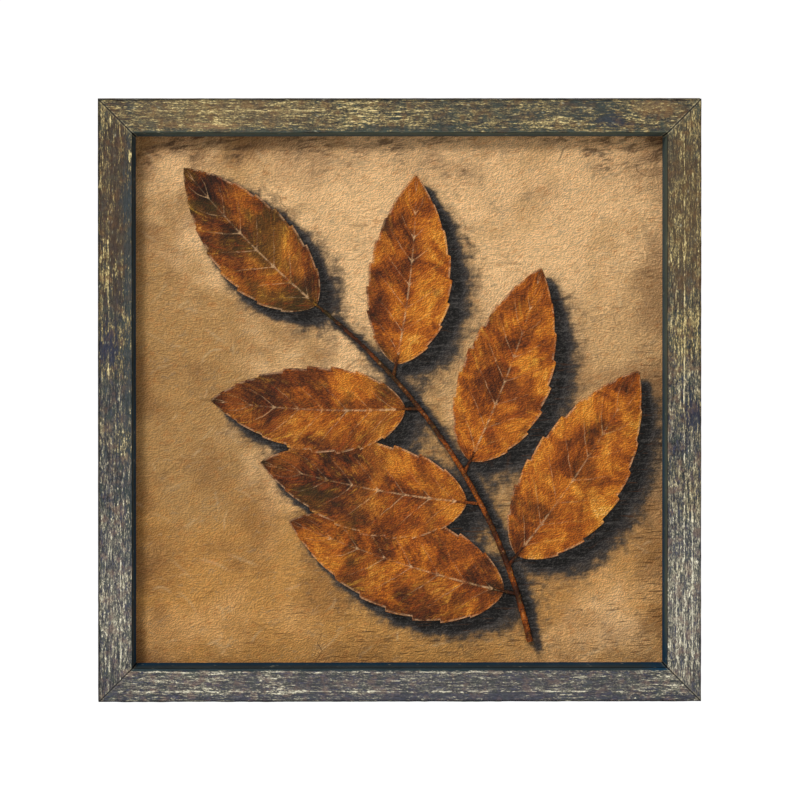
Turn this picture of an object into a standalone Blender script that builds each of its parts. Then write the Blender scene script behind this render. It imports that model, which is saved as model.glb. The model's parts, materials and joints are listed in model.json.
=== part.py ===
# A square framed picture for a wall: a mitred moulding in distressed wood, with a canvas on a
# hardboard mount behind its sight edge and a raised sprig of leaves painted on the canvas.
# Metres, +Z up. The picture faces -Y and the wall is the plane y = 0. The origin is the point
# on that plane level with the notch by which the picture hangs, on its middle line.
from math import cos, pi, radians, sin

import bmesh
import bpy
from mathutils import Matrix, Vector

# Driving dimensions of the frame
FRAME_SIDE = 0.350  # outside, both ways
FACE_WIDTH = 0.0190  # flat front of the moulding
LIP_WIDTH = 0.0030  # slope from the face in to the sight edge, seen from the front
RAIL_DEPTH = 0.0280  # back to front
LIP_DROP = 0.0160  # how far the slope falls behind the face
LIP_THICKNESS = 0.0020
RABBET_OVERLAP = 0.0065  # how far the lip covers the picture's edge
EDGE_ROUND = 0.0012  # worn outer edge of the face
INNER_ROUND = 0.0005  # crisper edge between face and slope
GAP = 0.0003  # between touching pieces

# Where it hangs
WALL_STANDOFF = 0.0030  # rail's back to wall
HANG_DROP = 0.0120  # top of the frame to the notch that carries it

# The picture
CANVAS_THICKNESS = 0.0009
MOUNT_THICKNESS = 0.0030
PICTURE_PLAY = 0.0008  # clearance in the rabbet, each side

# The painted sprig, in the picture's own plane: x to the right, z up from its middle
STEM_POINTS = ((0.076, -0.141), (0.064, -0.086), (0.034, -0.014), (-0.042, 0.050))
STEM_RADIUS = 0.0018
STEM_TIP_RADIUS = 0.0010
STEM_STEPS = 22
STEM_STANDOFF = 1.1  # stem's axis to the back of the paint, in its own radii
LEAF_PLACES = (0.16, 0.44, 0.72)  # shares of the stem where pairs of leaves grow
PAIR_STAGGER = 0.09  # a right-hand leaf grows this much further up the stem
LEAF_LENGTH = 0.136  # a leaf at the stem's foot, without its stalk
LEAF_TAPER = 0.24  # share of length lost by the stem's tip
LEAF_WIDTH = 0.46  # share of a leaf's length
LEAF_FOOT_POWER = 0.62  # how bluntly a leaf widens from its stalk
LEAF_TIP_POWER = 0.85  # how bluntly it narrows to its tip
LEAF_END_HALF_WIDTH = 0.0004
LEAF_SPREAD = 62  # degrees between the stem's foot and a leaf
SPREAD_TAPER = 10  # degrees less at the stem's tip
LEAF_BOW = 0.10  # share of its length by which a leaf bends back
STALK_LENGTH = 0.008
STALK_RUN = 0.08  # share of a leaf's length over which its stalk runs on as a rib
TIP_LEAF_LENGTH = 0.110
LEAF_EDGE = 0.0007  # paint thickness at a leaf's edge
LEAF_CROWN = 0.0009  # more in the middle of each half
RIB_HEIGHT = 0.0006
TEETH = 8  # on each side of a leaf
TOOTH_DEPTH = 0.07  # share of the half width
RIB_SHARE = 1 / 3  # share of the half width that the middle rib takes
LEAF_ROWS = 32
LEAF_COLUMNS = 6

# Fixings
V_NAIL_ARM = 0.0050
V_NAIL_THICKNESS = 0.0006
V_NAIL_HEIGHT = 0.0080
V_NAIL_INSETS = (0.0042, 0.0106)  # apex to the frame's outside, square to it
POINT_LENGTH = 0.0140
POINT_WIDTH = 0.0060
POINT_THICKNESS = 0.0006
POINT_SHOULDER = 0.8  # length of the tapered end, in half widths
POINT_TIP = 0.35  # half width of the blunt tip, in half widths
POINT_BITE = 0.0055  # length driven into the rail
POINT_SPACING = 0.170  # between the two on a rail
HANGER_LENGTH = 0.0450
HANGER_HEIGHT = 0.0090
HANGER_THICKNESS = 0.0008
HANGER_RISE = 0.0014  # toothed middle stands this much behind the ears
HANGER_EAR = 0.0085
HANGER_RAMP = 0.0020
TOOTH_PITCH = 0.0024
NOTCH_DEPTH = 0.0012
NAIL_RADIUS = 0.0007
NAIL_LENGTH = 0.0085
NAIL_HEAD_RADIUS = 0.0018
NAIL_HEAD_HEIGHT = 0.0007
NAIL_HOLE_CLEARANCE = 0.0004
BUMPER_RADIUS = 0.0045
BUMPER_EDGE = 0.0005
BUMPER_FROM_CORNER = 0.0300
BOARD_EDGE = 0.0004

# Worked out from those
RAIL_WIDTH = FACE_WIDTH + LIP_WIDTH
LEG_WIDTH = RAIL_WIDTH - RABBET_OVERLAP
RABBET_DEPTH = RAIL_DEPTH - LIP_DROP - LIP_THICKNESS
BACK_Y = -WALL_STANDOFF
TOP_Z = HANG_DROP
MIDDLE_Z = TOP_Z - FRAME_SIDE / 2
HALF_SIDE = FRAME_SIDE / 2
PICTURE_SIDE = FRAME_SIDE - 2 * (LEG_WIDTH + PICTURE_PLAY)
CANVAS_BACK_Y = BACK_Y - RABBET_DEPTH + GAP + CANVAS_THICKNESS
CANVAS_FRONT_Y = CANVAS_BACK_Y - CANVAS_THICKNESS
MOUNT_FRONT_Y = CANVAS_BACK_Y + GAP
MOUNT_BACK_Y = MOUNT_FRONT_Y + MOUNT_THICKNESS
PAINT_BACK_Y = CANVAS_FRONT_Y - GAP
CUT_PAST = 0.0010  # how far a cutter runs past the face that it cuts
SMALL_ROUND_SEGMENTS = 20
BUMPER_SEGMENTS = 32

# Colour, roughness and metallic value of each finish
FINISHES = {
    "distressed_wood": ((0.105, 0.090, 0.062), 0.75, 0.0),
    "painted_canvas": ((0.500, 0.310, 0.130), 0.80, 0.0),
    "leaf_paint": ((0.330, 0.110, 0.022), 0.65, 0.0),
    "hardboard": ((0.210, 0.120, 0.060), 0.85, 0.0),
    "zinc_steel": ((0.560, 0.570, 0.580), 0.35, 1.0),
    "brass_plate": ((0.600, 0.430, 0.160), 0.35, 1.0),
    "black_rubber": ((0.020, 0.020, 0.020), 0.80, 0.0),
}


def clear_scene():
    for obj in list(bpy.data.objects):
        bpy.data.objects.remove(obj)


def make_collection(name):
    collection = bpy.data.collections.new(name)
    bpy.context.scene.collection.children.link(collection)
    return collection


def make_material(name):
    colour, roughness, metallic = FINISHES[name]
    material = bpy.data.materials.new(name)
    material.use_nodes = True
    shader = material.node_tree.nodes["Principled BSDF"]
    shader.inputs["Base Color"].default_value = (*colour, 1.0)
    shader.inputs["Roughness"].default_value = roughness
    shader.inputs["Metallic"].default_value = metallic
    material.diffuse_color = (*colour, 1.0)
    return material


def add_object(name, mesh, collection, material=None):
    obj = bpy.data.objects.new(name, mesh)
    collection.objects.link(obj)
    if material:
        mesh.materials.append(material)
    return obj


def mesh_from(bm, name):
    bmesh.ops.recalc_face_normals(bm, faces=bm.faces)
    mesh = bpy.data.meshes.new(name)
    bm.to_mesh(mesh)
    bm.free()
    return mesh


def shade_round(mesh, degrees=35):
    mesh.shade_smooth()
    mesh.set_sharp_from_angle(angle=radians(degrees))


# A flat outline in x and y, closed and given a thickness along z, as a mesh.
def plate_mesh(name, outline, thickness):
    curve = bpy.data.curves.new(name, "CURVE")
    curve.dimensions = "2D"
    curve.fill_mode = "BOTH"
    curve.extrude = thickness / 2
    spline = curve.splines.new("POLY")
    spline.points.add(len(outline) - 1)
    for point, (x, y) in zip(spline.points, outline):
        point.co = (x, y, 0, 1)
    spline.use_cyclic_u = True
    return welded_mesh(curve, name)


def welded_mesh(curve, name):
    guide = bpy.data.objects.new(name + "_guide", curve)
    bpy.context.scene.collection.objects.link(guide)
    graph = bpy.context.evaluated_depsgraph_get()
    mesh = bpy.data.meshes.new_from_object(guide.evaluated_get(graph))
    mesh.name = name
    bpy.data.objects.remove(guide)
    bm = bmesh.new()
    bm.from_mesh(mesh)
    bmesh.ops.remove_doubles(bm, verts=bm.verts, dist=1e-6)
    bmesh.ops.recalc_face_normals(bm, faces=bm.faces)
    bm.to_mesh(mesh)
    bm.free()
    return mesh


def box_mesh(name, size, centre, edge=0.0):
    bm = bmesh.new()
    bmesh.ops.create_cube(bm, size=1.0)
    bmesh.ops.scale(bm, vec=size, verts=bm.verts)
    if edge:
        bmesh.ops.bevel(bm, geom=bm.edges[:], offset=edge, segments=2, profile=0.5, affect="EDGES")
    bmesh.ops.translate(bm, vec=centre, verts=bm.verts)
    return mesh_from(bm, name)


def subtract(obj, cutter):
    modifier = obj.modifiers.new("cut_" + cutter.name, "BOOLEAN")
    modifier.operation = "DIFFERENCE"
    modifier.solver = "EXACT"
    modifier.object = cutter


def add_cutter(name, mesh, collection):
    cutter = add_object(name, mesh, collection)
    cutter.hide_render = True
    cutter.display_type = "WIRE"
    return cutter


# Points of a rounded corner that turns from one direction to another.
def corner_arc(centre, radius, start, end, steps):
    angles = [radians(start + (end - start) * i / steps) for i in range(steps + 1)]
    return [(centre[0] + radius * cos(a), centre[1] + radius * sin(a)) for a in angles]


# The moulding's section: x runs in from the frame's outside, y forward from its back.
def rail_section():
    outer = corner_arc((EDGE_ROUND, RAIL_DEPTH - EDGE_ROUND), EDGE_ROUND, 180, 90, 5)
    inner = corner_arc((FACE_WIDTH - INNER_ROUND, RAIL_DEPTH - INNER_ROUND), INNER_ROUND, 90, 15, 3)
    sight_y = RAIL_DEPTH - LIP_DROP
    return [
        (0.0, 0.0),
        *outer,
        *inner,
        (RAIL_WIDTH, sight_y),
        (RAIL_WIDTH, sight_y - LIP_THICKNESS),
        (LEG_WIDTH, RABBET_DEPTH),
        (LEG_WIDTH, 0.0),
    ]


# One rail, made as the top one and cut at 45 degrees at both ends, GAP / 2 short of the joint.
def rail_mesh(name):
    mesh = plate_mesh(name, rail_section(), FRAME_SIDE)
    bm = bmesh.new()
    bm.from_mesh(mesh)
    for vert in bm.verts:
        inward, forward, along = vert.co
        vert.co = Vector((along, BACK_Y - forward, HALF_SIDE - inward))
    for side in (-1, 1):
        joint = Vector((side * (HALF_SIDE - GAP * cos(pi / 4)), 0, HALF_SIDE))
        geometry = bm.verts[:] + bm.edges[:] + bm.faces[:]
        bmesh.ops.bisect_plane(
            bm, geom=geometry, plane_co=joint, plane_no=(side, 0, -1), clear_outer=True, dist=1e-7
        )
    for side in (-1, 1):
        open_edges = [e for e in bm.edges if e.is_boundary and e.verts[0].co.x * side > 0]
        bmesh.ops.contextual_create(bm, geom=open_edges)
    bmesh.ops.recalc_face_normals(bm, faces=bm.faces)
    bm.to_mesh(mesh)
    bm.free()
    return mesh


def turned(mesh, quarter_turns):
    mesh.transform(Matrix.Rotation(radians(90) * quarter_turns, 4, "Y"))
    mesh.transform(Matrix.Translation((0, 0, MIDDLE_Z)))
    return mesh


RAILS = (("rail_top", 0), ("rail_right", 1), ("rail_bottom", 2), ("rail_left", 3))


def build_rails(parts, material):
    rails = {}
    for name, quarter_turns in RAILS:
        mesh = turned(rail_mesh(name), quarter_turns)
        rails[name] = add_object(name, mesh, parts, material)
        shade_round(mesh)
    return rails


# A V nail bridges a mitre: its point lies on the joint and an arm runs into each rail.
def v_outline(thickness, arm):
    half = thickness / 2
    return [
        (-half, half),
        (arm, half),
        (arm, -half),
        (half, -half),
        (half, -arm),
        (-half, -arm),
    ]


def v_nail_mesh(name, inset, corner, grow, deeper):
    outline = v_outline(V_NAIL_THICKNESS + 2 * grow, V_NAIL_ARM + grow)
    mesh = plate_mesh(name, outline, V_NAIL_HEIGHT + grow + deeper)
    front = BACK_Y - V_NAIL_HEIGHT - grow
    to_back = Matrix.Translation((0, front + (V_NAIL_HEIGHT + grow + deeper) / 2, 0))
    upright = Matrix.Rotation(radians(90), 4, "X")
    place = Matrix.Translation((-HALF_SIDE + inset, 0, HALF_SIDE - inset))
    mesh.transform(place @ to_back @ upright)
    return turned(mesh, corner)


def build_v_nails(parts, cutters, rails, material):
    names = [name for name, _ in RAILS]
    for corner in range(4):
        meeting = (rails[names[corner]], rails[names[corner - 1]])
        for number, inset in enumerate(V_NAIL_INSETS, 1):
            label = f"v_nail_{corner + 1}_{number}"
            add_object(label, v_nail_mesh(label, inset, corner, 0, 0), parts, material)
            slot_mesh = v_nail_mesh("slot_" + label, inset, corner, GAP, CUT_PAST)
            slot = add_cutter("slot_" + label, slot_mesh, cutters)
            for rail in meeting:
                subtract(rail, slot)


def build_picture(parts, canvas_finish, board_finish):
    canvas = box_mesh(
        "canvas_sheet",
        (PICTURE_SIDE, CANVAS_THICKNESS, PICTURE_SIDE),
        (0, CANVAS_BACK_Y - CANVAS_THICKNESS / 2, MIDDLE_Z),
    )
    board = box_mesh(
        "mount_board",
        (PICTURE_SIDE, MOUNT_THICKNESS, PICTURE_SIDE),
        (0, MOUNT_FRONT_Y + MOUNT_THICKNESS / 2, MIDDLE_Z),
        edge=BOARD_EDGE,
    )
    add_object("canvas_sheet", canvas, parts, canvas_finish)
    add_object("mount_board", board, parts, board_finish)


def stem_point(t):
    a, b, c, d = (Vector(point) for point in STEM_POINTS)
    u = 1 - t
    return a * u**3 + b * 3 * u * u * t + c * 3 * u * t * t + d * t**3


def stem_direction(t):
    step = 0.001
    return (stem_point(min(t + step, 1.0)) - stem_point(max(t - step, 0.0))).normalized()


def turn(vector, degrees):
    return Matrix.Rotation(radians(degrees), 2) @ vector


# Half width of a leaf, from stalk to tip, with a tooth for each side rib.
def leaf_half_width(share, length):
    widest = LEAF_FOOT_POWER / (LEAF_FOOT_POWER + LEAF_TIP_POWER)
    fullest = widest**LEAF_FOOT_POWER * (1 - widest) ** LEAF_TIP_POWER
    body = share**LEAF_FOOT_POWER * (1 - share) ** LEAF_TIP_POWER / fullest
    tooth = 1 - TOOTH_DEPTH * (1 - (share * TEETH) % 1.0)
    return max(LEAF_WIDTH * length / 2 * body * tooth, LEAF_END_HALF_WIDTH)


# Where each leaf starts, which way it points, its length, and the side to which it bends.
def leaf_list():
    leaves = []
    for place in LEAF_PLACES:
        for side in (1, -1):
            t = place + (PAIR_STAGGER if side < 0 else 0.0)
            direction = turn(stem_direction(t), side * (LEAF_SPREAD - SPREAD_TAPER * t))
            leaves.append((stem_point(t), direction, LEAF_LENGTH * (1 - LEAF_TAPER * t), side))
    leaves.append((stem_point(1.0), stem_direction(1.0), TIP_LEAF_LENGTH, 1))
    return leaves


# A point of a leaf at a share of its length and a share of its half width.
def leaf_point(start, direction, length, side, share, across):
    aside = Vector((-direction.y, direction.x))
    bow = -side * LEAF_BOW * length * share * share
    along = STALK_LENGTH + length * share
    return start + direction * along + aside * (bow + across * leaf_half_width(share, length))


# Paint height over the canvas: thin at the edge, crowned in each half, with a middle rib.
def leaf_height(share, across):
    crown = LEAF_CROWN * sin(pi * abs(across)) * sin(pi * min(max(share, 0.0), 1.0))
    rib = RIB_HEIGHT * max(0.0, 1 - abs(across) / RIB_SHARE)
    return LEAF_EDGE + crown + rib


def leaf_mesh(name, leaf):
    bm = bmesh.new()
    bmesh.ops.create_grid(bm, x_segments=LEAF_ROWS, y_segments=LEAF_COLUMNS, size=1.0)
    for vert in bm.verts:
        share, across = (vert.co.x + 1) / 2, vert.co.y
        flat = leaf_point(*leaf, share, across)
        vert.co = Vector((flat.x, PAINT_BACK_Y - leaf_height(share, across), MIDDLE_Z + flat.y))
    grown = bmesh.ops.extrude_face_region(bm, geom=bm.faces[:])
    for vert in grown["geom"]:
        if isinstance(vert, bmesh.types.BMVert):
            vert.co.y = PAINT_BACK_Y
    return mesh_from(bm, name)


def tube_mesh(name, points, radii):
    curve = bpy.data.curves.new(name, "CURVE")
    curve.dimensions = "3D"
    curve.bevel_depth = 1.0
    curve.bevel_resolution = 2
    curve.use_fill_caps = True
    spline = curve.splines.new("POLY")
    spline.points.add(len(points) - 1)
    for point, place, radius in zip(spline.points, points, radii):
        point.co = (*place, 1)
        point.radius = radius
    return welded_mesh(curve, name)


def build_sprig(parts, cutters, material):
    shares = [i / STEM_STEPS for i in range(STEM_STEPS + 1)]
    radii = [STEM_RADIUS + (STEM_TIP_RADIUS - STEM_RADIUS) * t for t in shares]
    line = [stem_point(t) for t in shares]
    places = [(p.x, PAINT_BACK_Y - STEM_STANDOFF * r, MIDDLE_Z + p.y) for p, r in zip(line, radii)]
    sprig = add_object("painted_sprig", tube_mesh("painted_sprig", places, radii), parts, material)
    blades = bpy.data.collections.new("sprig_blades")
    cutters.children.link(blades)
    for number, leaf in enumerate(leaf_list(), 1):
        add_object(f"blade_{number}", leaf_mesh(f"blade_{number}", leaf), blades)
        start, direction, length, side = leaf
        root = start - direction * STEM_RADIUS / 2
        foot = leaf_point(start, direction, length, side, STALK_RUN, 0.0)
        stalk_y = PAINT_BACK_Y - STEM_STANDOFF * STEM_TIP_RADIUS
        ends = [(p.x, stalk_y, MIDDLE_Z + p.y) for p in (root, foot)]
        stalk = tube_mesh(f"stalk_{number}", ends, [STEM_TIP_RADIUS] * 2)
        add_object(f"stalk_{number}", stalk, blades)
    join = sprig.modifiers.new("join", "BOOLEAN")
    join.operation = "UNION"
    join.operand_type = "COLLECTION"
    join.solver = "EXACT"
    join.collection = blades
    graph = bpy.context.evaluated_depsgraph_get()
    joined = bpy.data.meshes.new_from_object(sprig.evaluated_get(graph))
    sprig.modifiers.clear()
    sprig.data = joined
    for obj in list(blades.objects):
        bpy.data.objects.remove(obj)
    shade_round(joined, 50)


# Steel points driven into the rails behind the mount board, two to a rail.
def point_outline(grow):
    half = POINT_WIDTH / 2 + grow
    back, front = -POINT_BITE - grow, POINT_LENGTH - POINT_BITE
    shoulder = front - half * POINT_SHOULDER
    tip = half * POINT_TIP
    return [
        (-half, -back),
        (half, -back),
        (half, -shoulder),
        (tip, -front),
        (-tip, -front),
        (-half, -shoulder),
    ]


def point_mesh(name, offset, quarter_turns, grow):
    mesh = plate_mesh(name, point_outline(grow), POINT_THICKNESS + 2 * grow)
    upright = Matrix.Rotation(radians(90), 4, "X")
    wall_z = HALF_SIDE - LEG_WIDTH
    middle_y = MOUNT_BACK_Y + GAP + POINT_THICKNESS / 2
    mesh.transform(Matrix.Translation((offset, middle_y, wall_z)) @ upright)
    return turned(mesh, quarter_turns)


def build_points(parts, cutters, rails, material):
    for rail_name, quarter_turns in RAILS:
        side = rail_name.split("_")[1]
        for number, offset in enumerate((-POINT_SPACING / 2, POINT_SPACING / 2), 1):
            label = f"point_{side}_{number}"
            add_object(label, point_mesh(label, offset, quarter_turns, 0), parts, material)
            slit_mesh = point_mesh("slit_" + label, offset, quarter_turns, GAP)
            subtract(rails[rail_name], add_cutter("slit_" + label, slit_mesh, cutters))


# Saw-toothed hanger: flat ears nailed to the rail, and a middle that stands clear of it.
def hanger_offset(x):
    inner = HANGER_LENGTH / 2 - HANGER_EAR
    ramp = (inner - abs(x)) / HANGER_RAMP
    return HANGER_RISE * min(max(ramp, 0.0), 1.0)


def build_hanger(parts, cutters, material):
    half = HANGER_LENGTH / 2
    inner = half - HANGER_EAR
    toothed = inner - HANGER_RAMP
    pitches = round(toothed / TOOTH_PITCH)
    peaks = [(i + 0.5) * TOOTH_PITCH for i in range(-pitches, pitches)]
    notches = [i * TOOTH_PITCH for i in range(-pitches + 1, pitches)]
    xs = sorted([-half, -inner, -toothed, *peaks, *notches, toothed, inner, half])
    bm = bmesh.new()
    bmesh.ops.create_grid(bm, x_segments=len(xs) - 1, y_segments=1, size=1.0)
    ear_y = BACK_Y + GAP
    for vert in bm.verts:
        x = xs[round((vert.co.x + 1) / 2 * (len(xs) - 1))]
        top = vert.co.y > 0
        low = 0.0 if any(abs(x - n) < 1e-9 for n in notches) else -NOTCH_DEPTH
        z = HANGER_HEIGHT - NOTCH_DEPTH if top else low
        vert.co = Vector((x, ear_y + hanger_offset(x), z))
    plate = bmesh.ops.extrude_face_region(bm, geom=bm.faces[:])
    moved = [v for v in plate["geom"] if isinstance(v, bmesh.types.BMVert)]
    bmesh.ops.translate(bm, vec=(0, HANGER_THICKNESS, 0), verts=moved)
    hanger = add_object("hanger_plate", mesh_from(bm, "hanger_plate"), parts, material)
    for side, x in nail_places():
        radius = NAIL_RADIUS + NAIL_HOLE_CLEARANCE
        middle = (x, ear_y + HANGER_THICKNESS / 2, nail_height())
        name = "ear_hole_" + side
        mesh = mesh_from(round_bar(radius, HANGER_THICKNESS + 2 * CUT_PAST, middle), name)
        subtract(hanger, add_cutter(name, mesh, cutters))


# A round bar that runs front to back.
def round_bar(radius, length, centre, segments=SMALL_ROUND_SEGMENTS):
    bm = bmesh.new()
    bmesh.ops.create_cone(
        bm, cap_ends=True, segments=segments, radius1=radius, radius2=radius, depth=length
    )
    aim = Matrix.Translation(centre) @ Matrix.Rotation(radians(90), 4, "X")
    bmesh.ops.transform(bm, matrix=aim, verts=bm.verts)
    return bm


def nail_places():
    x = HANGER_LENGTH / 2 - HANGER_EAR / 2
    return (("left", -x), ("right", x))


def nail_height():
    return (HANGER_HEIGHT - 2 * NOTCH_DEPTH) / 2


# A nail is turned round its own axis: head dome, shank and point, listed from top to bottom.
def build_nails(parts, cutters, rails, material):
    dome = [(NAIL_HEAD_RADIUS * sin(a), NAIL_HEAD_HEIGHT * cos(a)) for a in (0.0, 0.5, 1.0, pi / 2)]
    shank_end = -NAIL_LENGTH + 2 * NAIL_RADIUS
    profile = [*dome, (NAIL_RADIUS, 0.0), (NAIL_RADIUS, shank_end), (0.0, -NAIL_LENGTH)]
    head_y = BACK_Y + GAP + HANGER_THICKNESS + GAP
    for side, x in nail_places():
        name = "hanger_nail_" + side
        bm = bmesh.new()
        verts = [bm.verts.new((radius, 0, height)) for radius, height in profile]
        edges = [bm.edges.new(pair) for pair in zip(verts, verts[1:])]
        bmesh.ops.spin(
            bm,
            geom=verts + edges,
            cent=(0, 0, 0),
            axis=(0, 0, 1),
            angle=2 * pi,
            steps=SMALL_ROUND_SEGMENTS,
            use_merge=True,
        )
        bmesh.ops.remove_doubles(bm, verts=bm.verts, dist=1e-6)
        aim = Matrix.Translation((x, head_y, nail_height())) @ Matrix.Rotation(radians(-90), 4, "X")
        bmesh.ops.transform(bm, matrix=aim, verts=bm.verts)
        mesh = mesh_from(bm, name)
        shade_round(mesh)
        add_object(name, mesh, parts, material)
        length = NAIL_LENGTH + 2 * CUT_PAST
        middle = (x, BACK_Y + CUT_PAST - length / 2, nail_height())
        bore_mesh = mesh_from(round_bar(NAIL_RADIUS + NAIL_HOLE_CLEARANCE, length, middle), "bore_" + name)
        subtract(rails["rail_top"], add_cutter("bore_" + name, bore_mesh, cutters))


def build_bumpers(parts, material):
    thickness = WALL_STANDOFF - GAP
    foot_z = TOP_Z - FRAME_SIDE + LEG_WIDTH / 2
    for name, side in (("bumper_left", -1), ("bumper_right", 1)):
        centre = (side * (HALF_SIDE - BUMPER_FROM_CORNER), -thickness / 2, foot_z)
        bm = round_bar(BUMPER_RADIUS, thickness, centre, BUMPER_SEGMENTS)
        rim = [e for e in bm.edges if all(v.co.y > centre[1] for v in e.verts)]
        bmesh.ops.bevel(bm, geom=rim, offset=BUMPER_EDGE, segments=2, profile=0.5, affect="EDGES")
        mesh = mesh_from(bm, name)
        shade_round(mesh)
        add_object(name, mesh, parts, material)


def main():
    clear_scene()
    parts = make_collection("framed_picture")
    cutters = make_collection("cutters")
    finish = {name: make_material(name) for name in FINISHES}
    rails = build_rails(parts, finish["distressed_wood"])
    build_v_nails(parts, cutters, rails, finish["zinc_steel"])
    build_picture(parts, finish["painted_canvas"], finish["hardboard"])
    build_sprig(parts, cutters, finish["leaf_paint"])
    build_points(parts, cutters, rails, finish["zinc_steel"])
    build_hanger(parts, cutters, finish["brass_plate"])
    build_nails(parts, cutters, rails, finish["brass_plate"])
    build_bumpers(parts, finish["black_rubber"])


main()
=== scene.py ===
import json
from math import cos, pi, radians, sin

import bmesh
import bpy
import numpy as np
from mathutils import Matrix, Vector

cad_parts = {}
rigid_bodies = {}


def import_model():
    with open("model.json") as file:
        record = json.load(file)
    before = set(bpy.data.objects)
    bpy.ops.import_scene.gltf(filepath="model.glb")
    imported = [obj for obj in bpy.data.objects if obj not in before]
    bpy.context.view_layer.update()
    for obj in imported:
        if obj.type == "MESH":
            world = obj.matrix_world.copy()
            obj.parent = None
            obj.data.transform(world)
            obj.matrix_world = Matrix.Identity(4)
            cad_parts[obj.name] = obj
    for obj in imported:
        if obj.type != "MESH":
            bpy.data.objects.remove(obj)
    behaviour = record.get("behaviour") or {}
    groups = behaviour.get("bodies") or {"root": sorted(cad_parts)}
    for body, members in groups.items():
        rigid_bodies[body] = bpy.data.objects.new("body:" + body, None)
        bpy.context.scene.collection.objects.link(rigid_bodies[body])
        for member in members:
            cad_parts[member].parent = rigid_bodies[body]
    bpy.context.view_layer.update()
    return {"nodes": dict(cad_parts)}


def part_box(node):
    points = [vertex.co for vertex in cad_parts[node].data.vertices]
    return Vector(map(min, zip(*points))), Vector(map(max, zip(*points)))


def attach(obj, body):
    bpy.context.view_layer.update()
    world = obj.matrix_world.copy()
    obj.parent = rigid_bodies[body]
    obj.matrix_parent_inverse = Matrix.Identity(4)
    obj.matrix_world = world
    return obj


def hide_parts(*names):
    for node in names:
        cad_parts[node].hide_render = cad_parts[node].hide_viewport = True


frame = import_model()
cadNodes = frame["nodes"]
print("frame loaded,", len(cadNodes), "nodes")

# The picture faces -Y, its wall is the plane y = 0 and +Z is up. These sizes come from the frame.
halfSide = -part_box("rail_left")[0].x
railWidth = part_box("rail_left")[1].x + halfSide
faceY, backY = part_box("rail_left")[0].y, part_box("rail_left")[1].y
railDepth = backY - faceY
middleZ = (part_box("rail_left")[0].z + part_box("rail_left")[1].z) / 2
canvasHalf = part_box("canvas_sheet")[1].x
canvasFront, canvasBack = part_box("canvas_sheet")[0].y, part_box("canvas_sheet")[1].y
sightHalf = halfSide - railWidth


# Shader helpers. A colour is given as it should look, 0 to 255 a channel.
def rgb(red, green, blue):
    channels = [value / 255 for value in (red, green, blue)]
    return (*[v / 12.92 if v < 0.04045 else ((v + 0.055) / 1.055) ** 2.4 for v in channels], 1.0)


# A number, colour or vector on its way through a shader. Sums and products of values are Math nodes.
class Value:
    def __init__(self, socket):
        self.socket, self.tree = socket, socket.id_data

    def __add__(self, other):
        return maths("ADD", self, other)

    def __sub__(self, other):
        return maths("SUBTRACT", self, other)

    def __rsub__(self, other):
        return maths("SUBTRACT", other, self)

    def __mul__(self, other):
        return maths("MULTIPLY", self, other)

    def __truediv__(self, other):
        return maths("DIVIDE", self, other)

    def __abs__(self):
        return maths("ABSOLUTE", self)


def addNode(kind, sockets, tree=None, **settings):
    tree = tree or next(value.tree for value in sockets.values() if isinstance(value, Value))
    made = tree.nodes.new("ShaderNode" + kind)
    for name, value in settings.items():
        setattr(made, name, value)
    for socket, value in sockets.items():
        if isinstance(value, Value):
            join(value, made, socket)
        else:
            made.inputs[socket].default_value = value
    return made


def join(value, node, socket):
    value.tree.links.new(value.socket, node.inputs[socket])


def outputOf(node, socket=0):
    return Value(node.outputs[socket])


def maths(operation, *values, clamp=False):
    return outputOf(addNode("Math", dict(enumerate(values)), operation=operation, use_clamp=clamp))


def remap(value, low, high, toLow=0.0, toHigh=1.0):
    sockets = {"Value": value, "From Min": low, "From Max": high, "To Min": toLow, "To Max": toHigh}
    return outputOf(addNode("MapRange", sockets, interpolation_type="SMOOTHSTEP"), "Result")


def mixColour(share, a, b, mode="MIX"):
    a, b = (colour if isinstance(colour, Value) else rgb(*colour) for colour in (a, b))
    return outputOf(addNode("Mix", {0: share, 6: a, 7: b}, data_type="RGBA", blend_type=mode), 2)


def mixValue(share, a, b):
    return outputOf(addNode("Mix", {0: share, 2: a, 3: b}, data_type="FLOAT"))


def colourRamp(value, stops):
    made = addNode("ValToRGB", {"Fac": value})
    ramp = made.color_ramp
    while len(ramp.elements) < len(stops):
        ramp.elements.new(0.5)
    for element, (place, colour) in zip(ramp.elements, stops):
        element.position = place
        element.color = rgb(*colour)
    return outputOf(made)


# Coats laid over a colour in turn, each with its mask and the name that its colour has in the settings.
def coated(colour, look, *coats):
    for mask, name in coats:
        colour = mixColour(mask, colour, look[name])
    return colour


# A colour made lighter or darker by a tone.
def toned(colour, tone):
    return mixColour(1.0, colour, combined(tone, tone, tone), "MULTIPLY")


def parted(vector):
    return [Value(socket) for socket in addNode("SeparateXYZ", {0: vector}).outputs]


def combined(x, y, z):
    return outputOf(addNode("CombineXYZ", {0: x, 1: y, 2: z}))


def moved(vector, offset):
    return outputOf(addNode("VectorMath", {0: vector, 1: offset}, operation="ADD"))


def stretched(vector, scale, turn=0.0, shift=(0, 0, 0)):
    turned = addNode("Mapping", {"Vector": vector, "Rotation": (0, turn, 0), "Location": shift})
    return outputOf(addNode("VectorMath", {0: outputOf(turned), 1: scale}, operation="MULTIPLY"))


# Noise, at one scale or at another one each way, then also turned or shifted.
def noiseAt(vector, scale, detail=3.0, roughness=0.55, distortion=0.0, turn=0.0, shift=(0, 0, 0)):
    if isinstance(scale, tuple):
        vector, scale = stretched(vector, scale, turn, shift), 1.0
    sockets = {"Vector": vector, "Scale": scale, "Detail": detail}
    sockets |= {"Roughness": roughness, "Distortion": distortion}
    return outputOf(addNode("TexNoise", sockets), "Fac")


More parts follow.
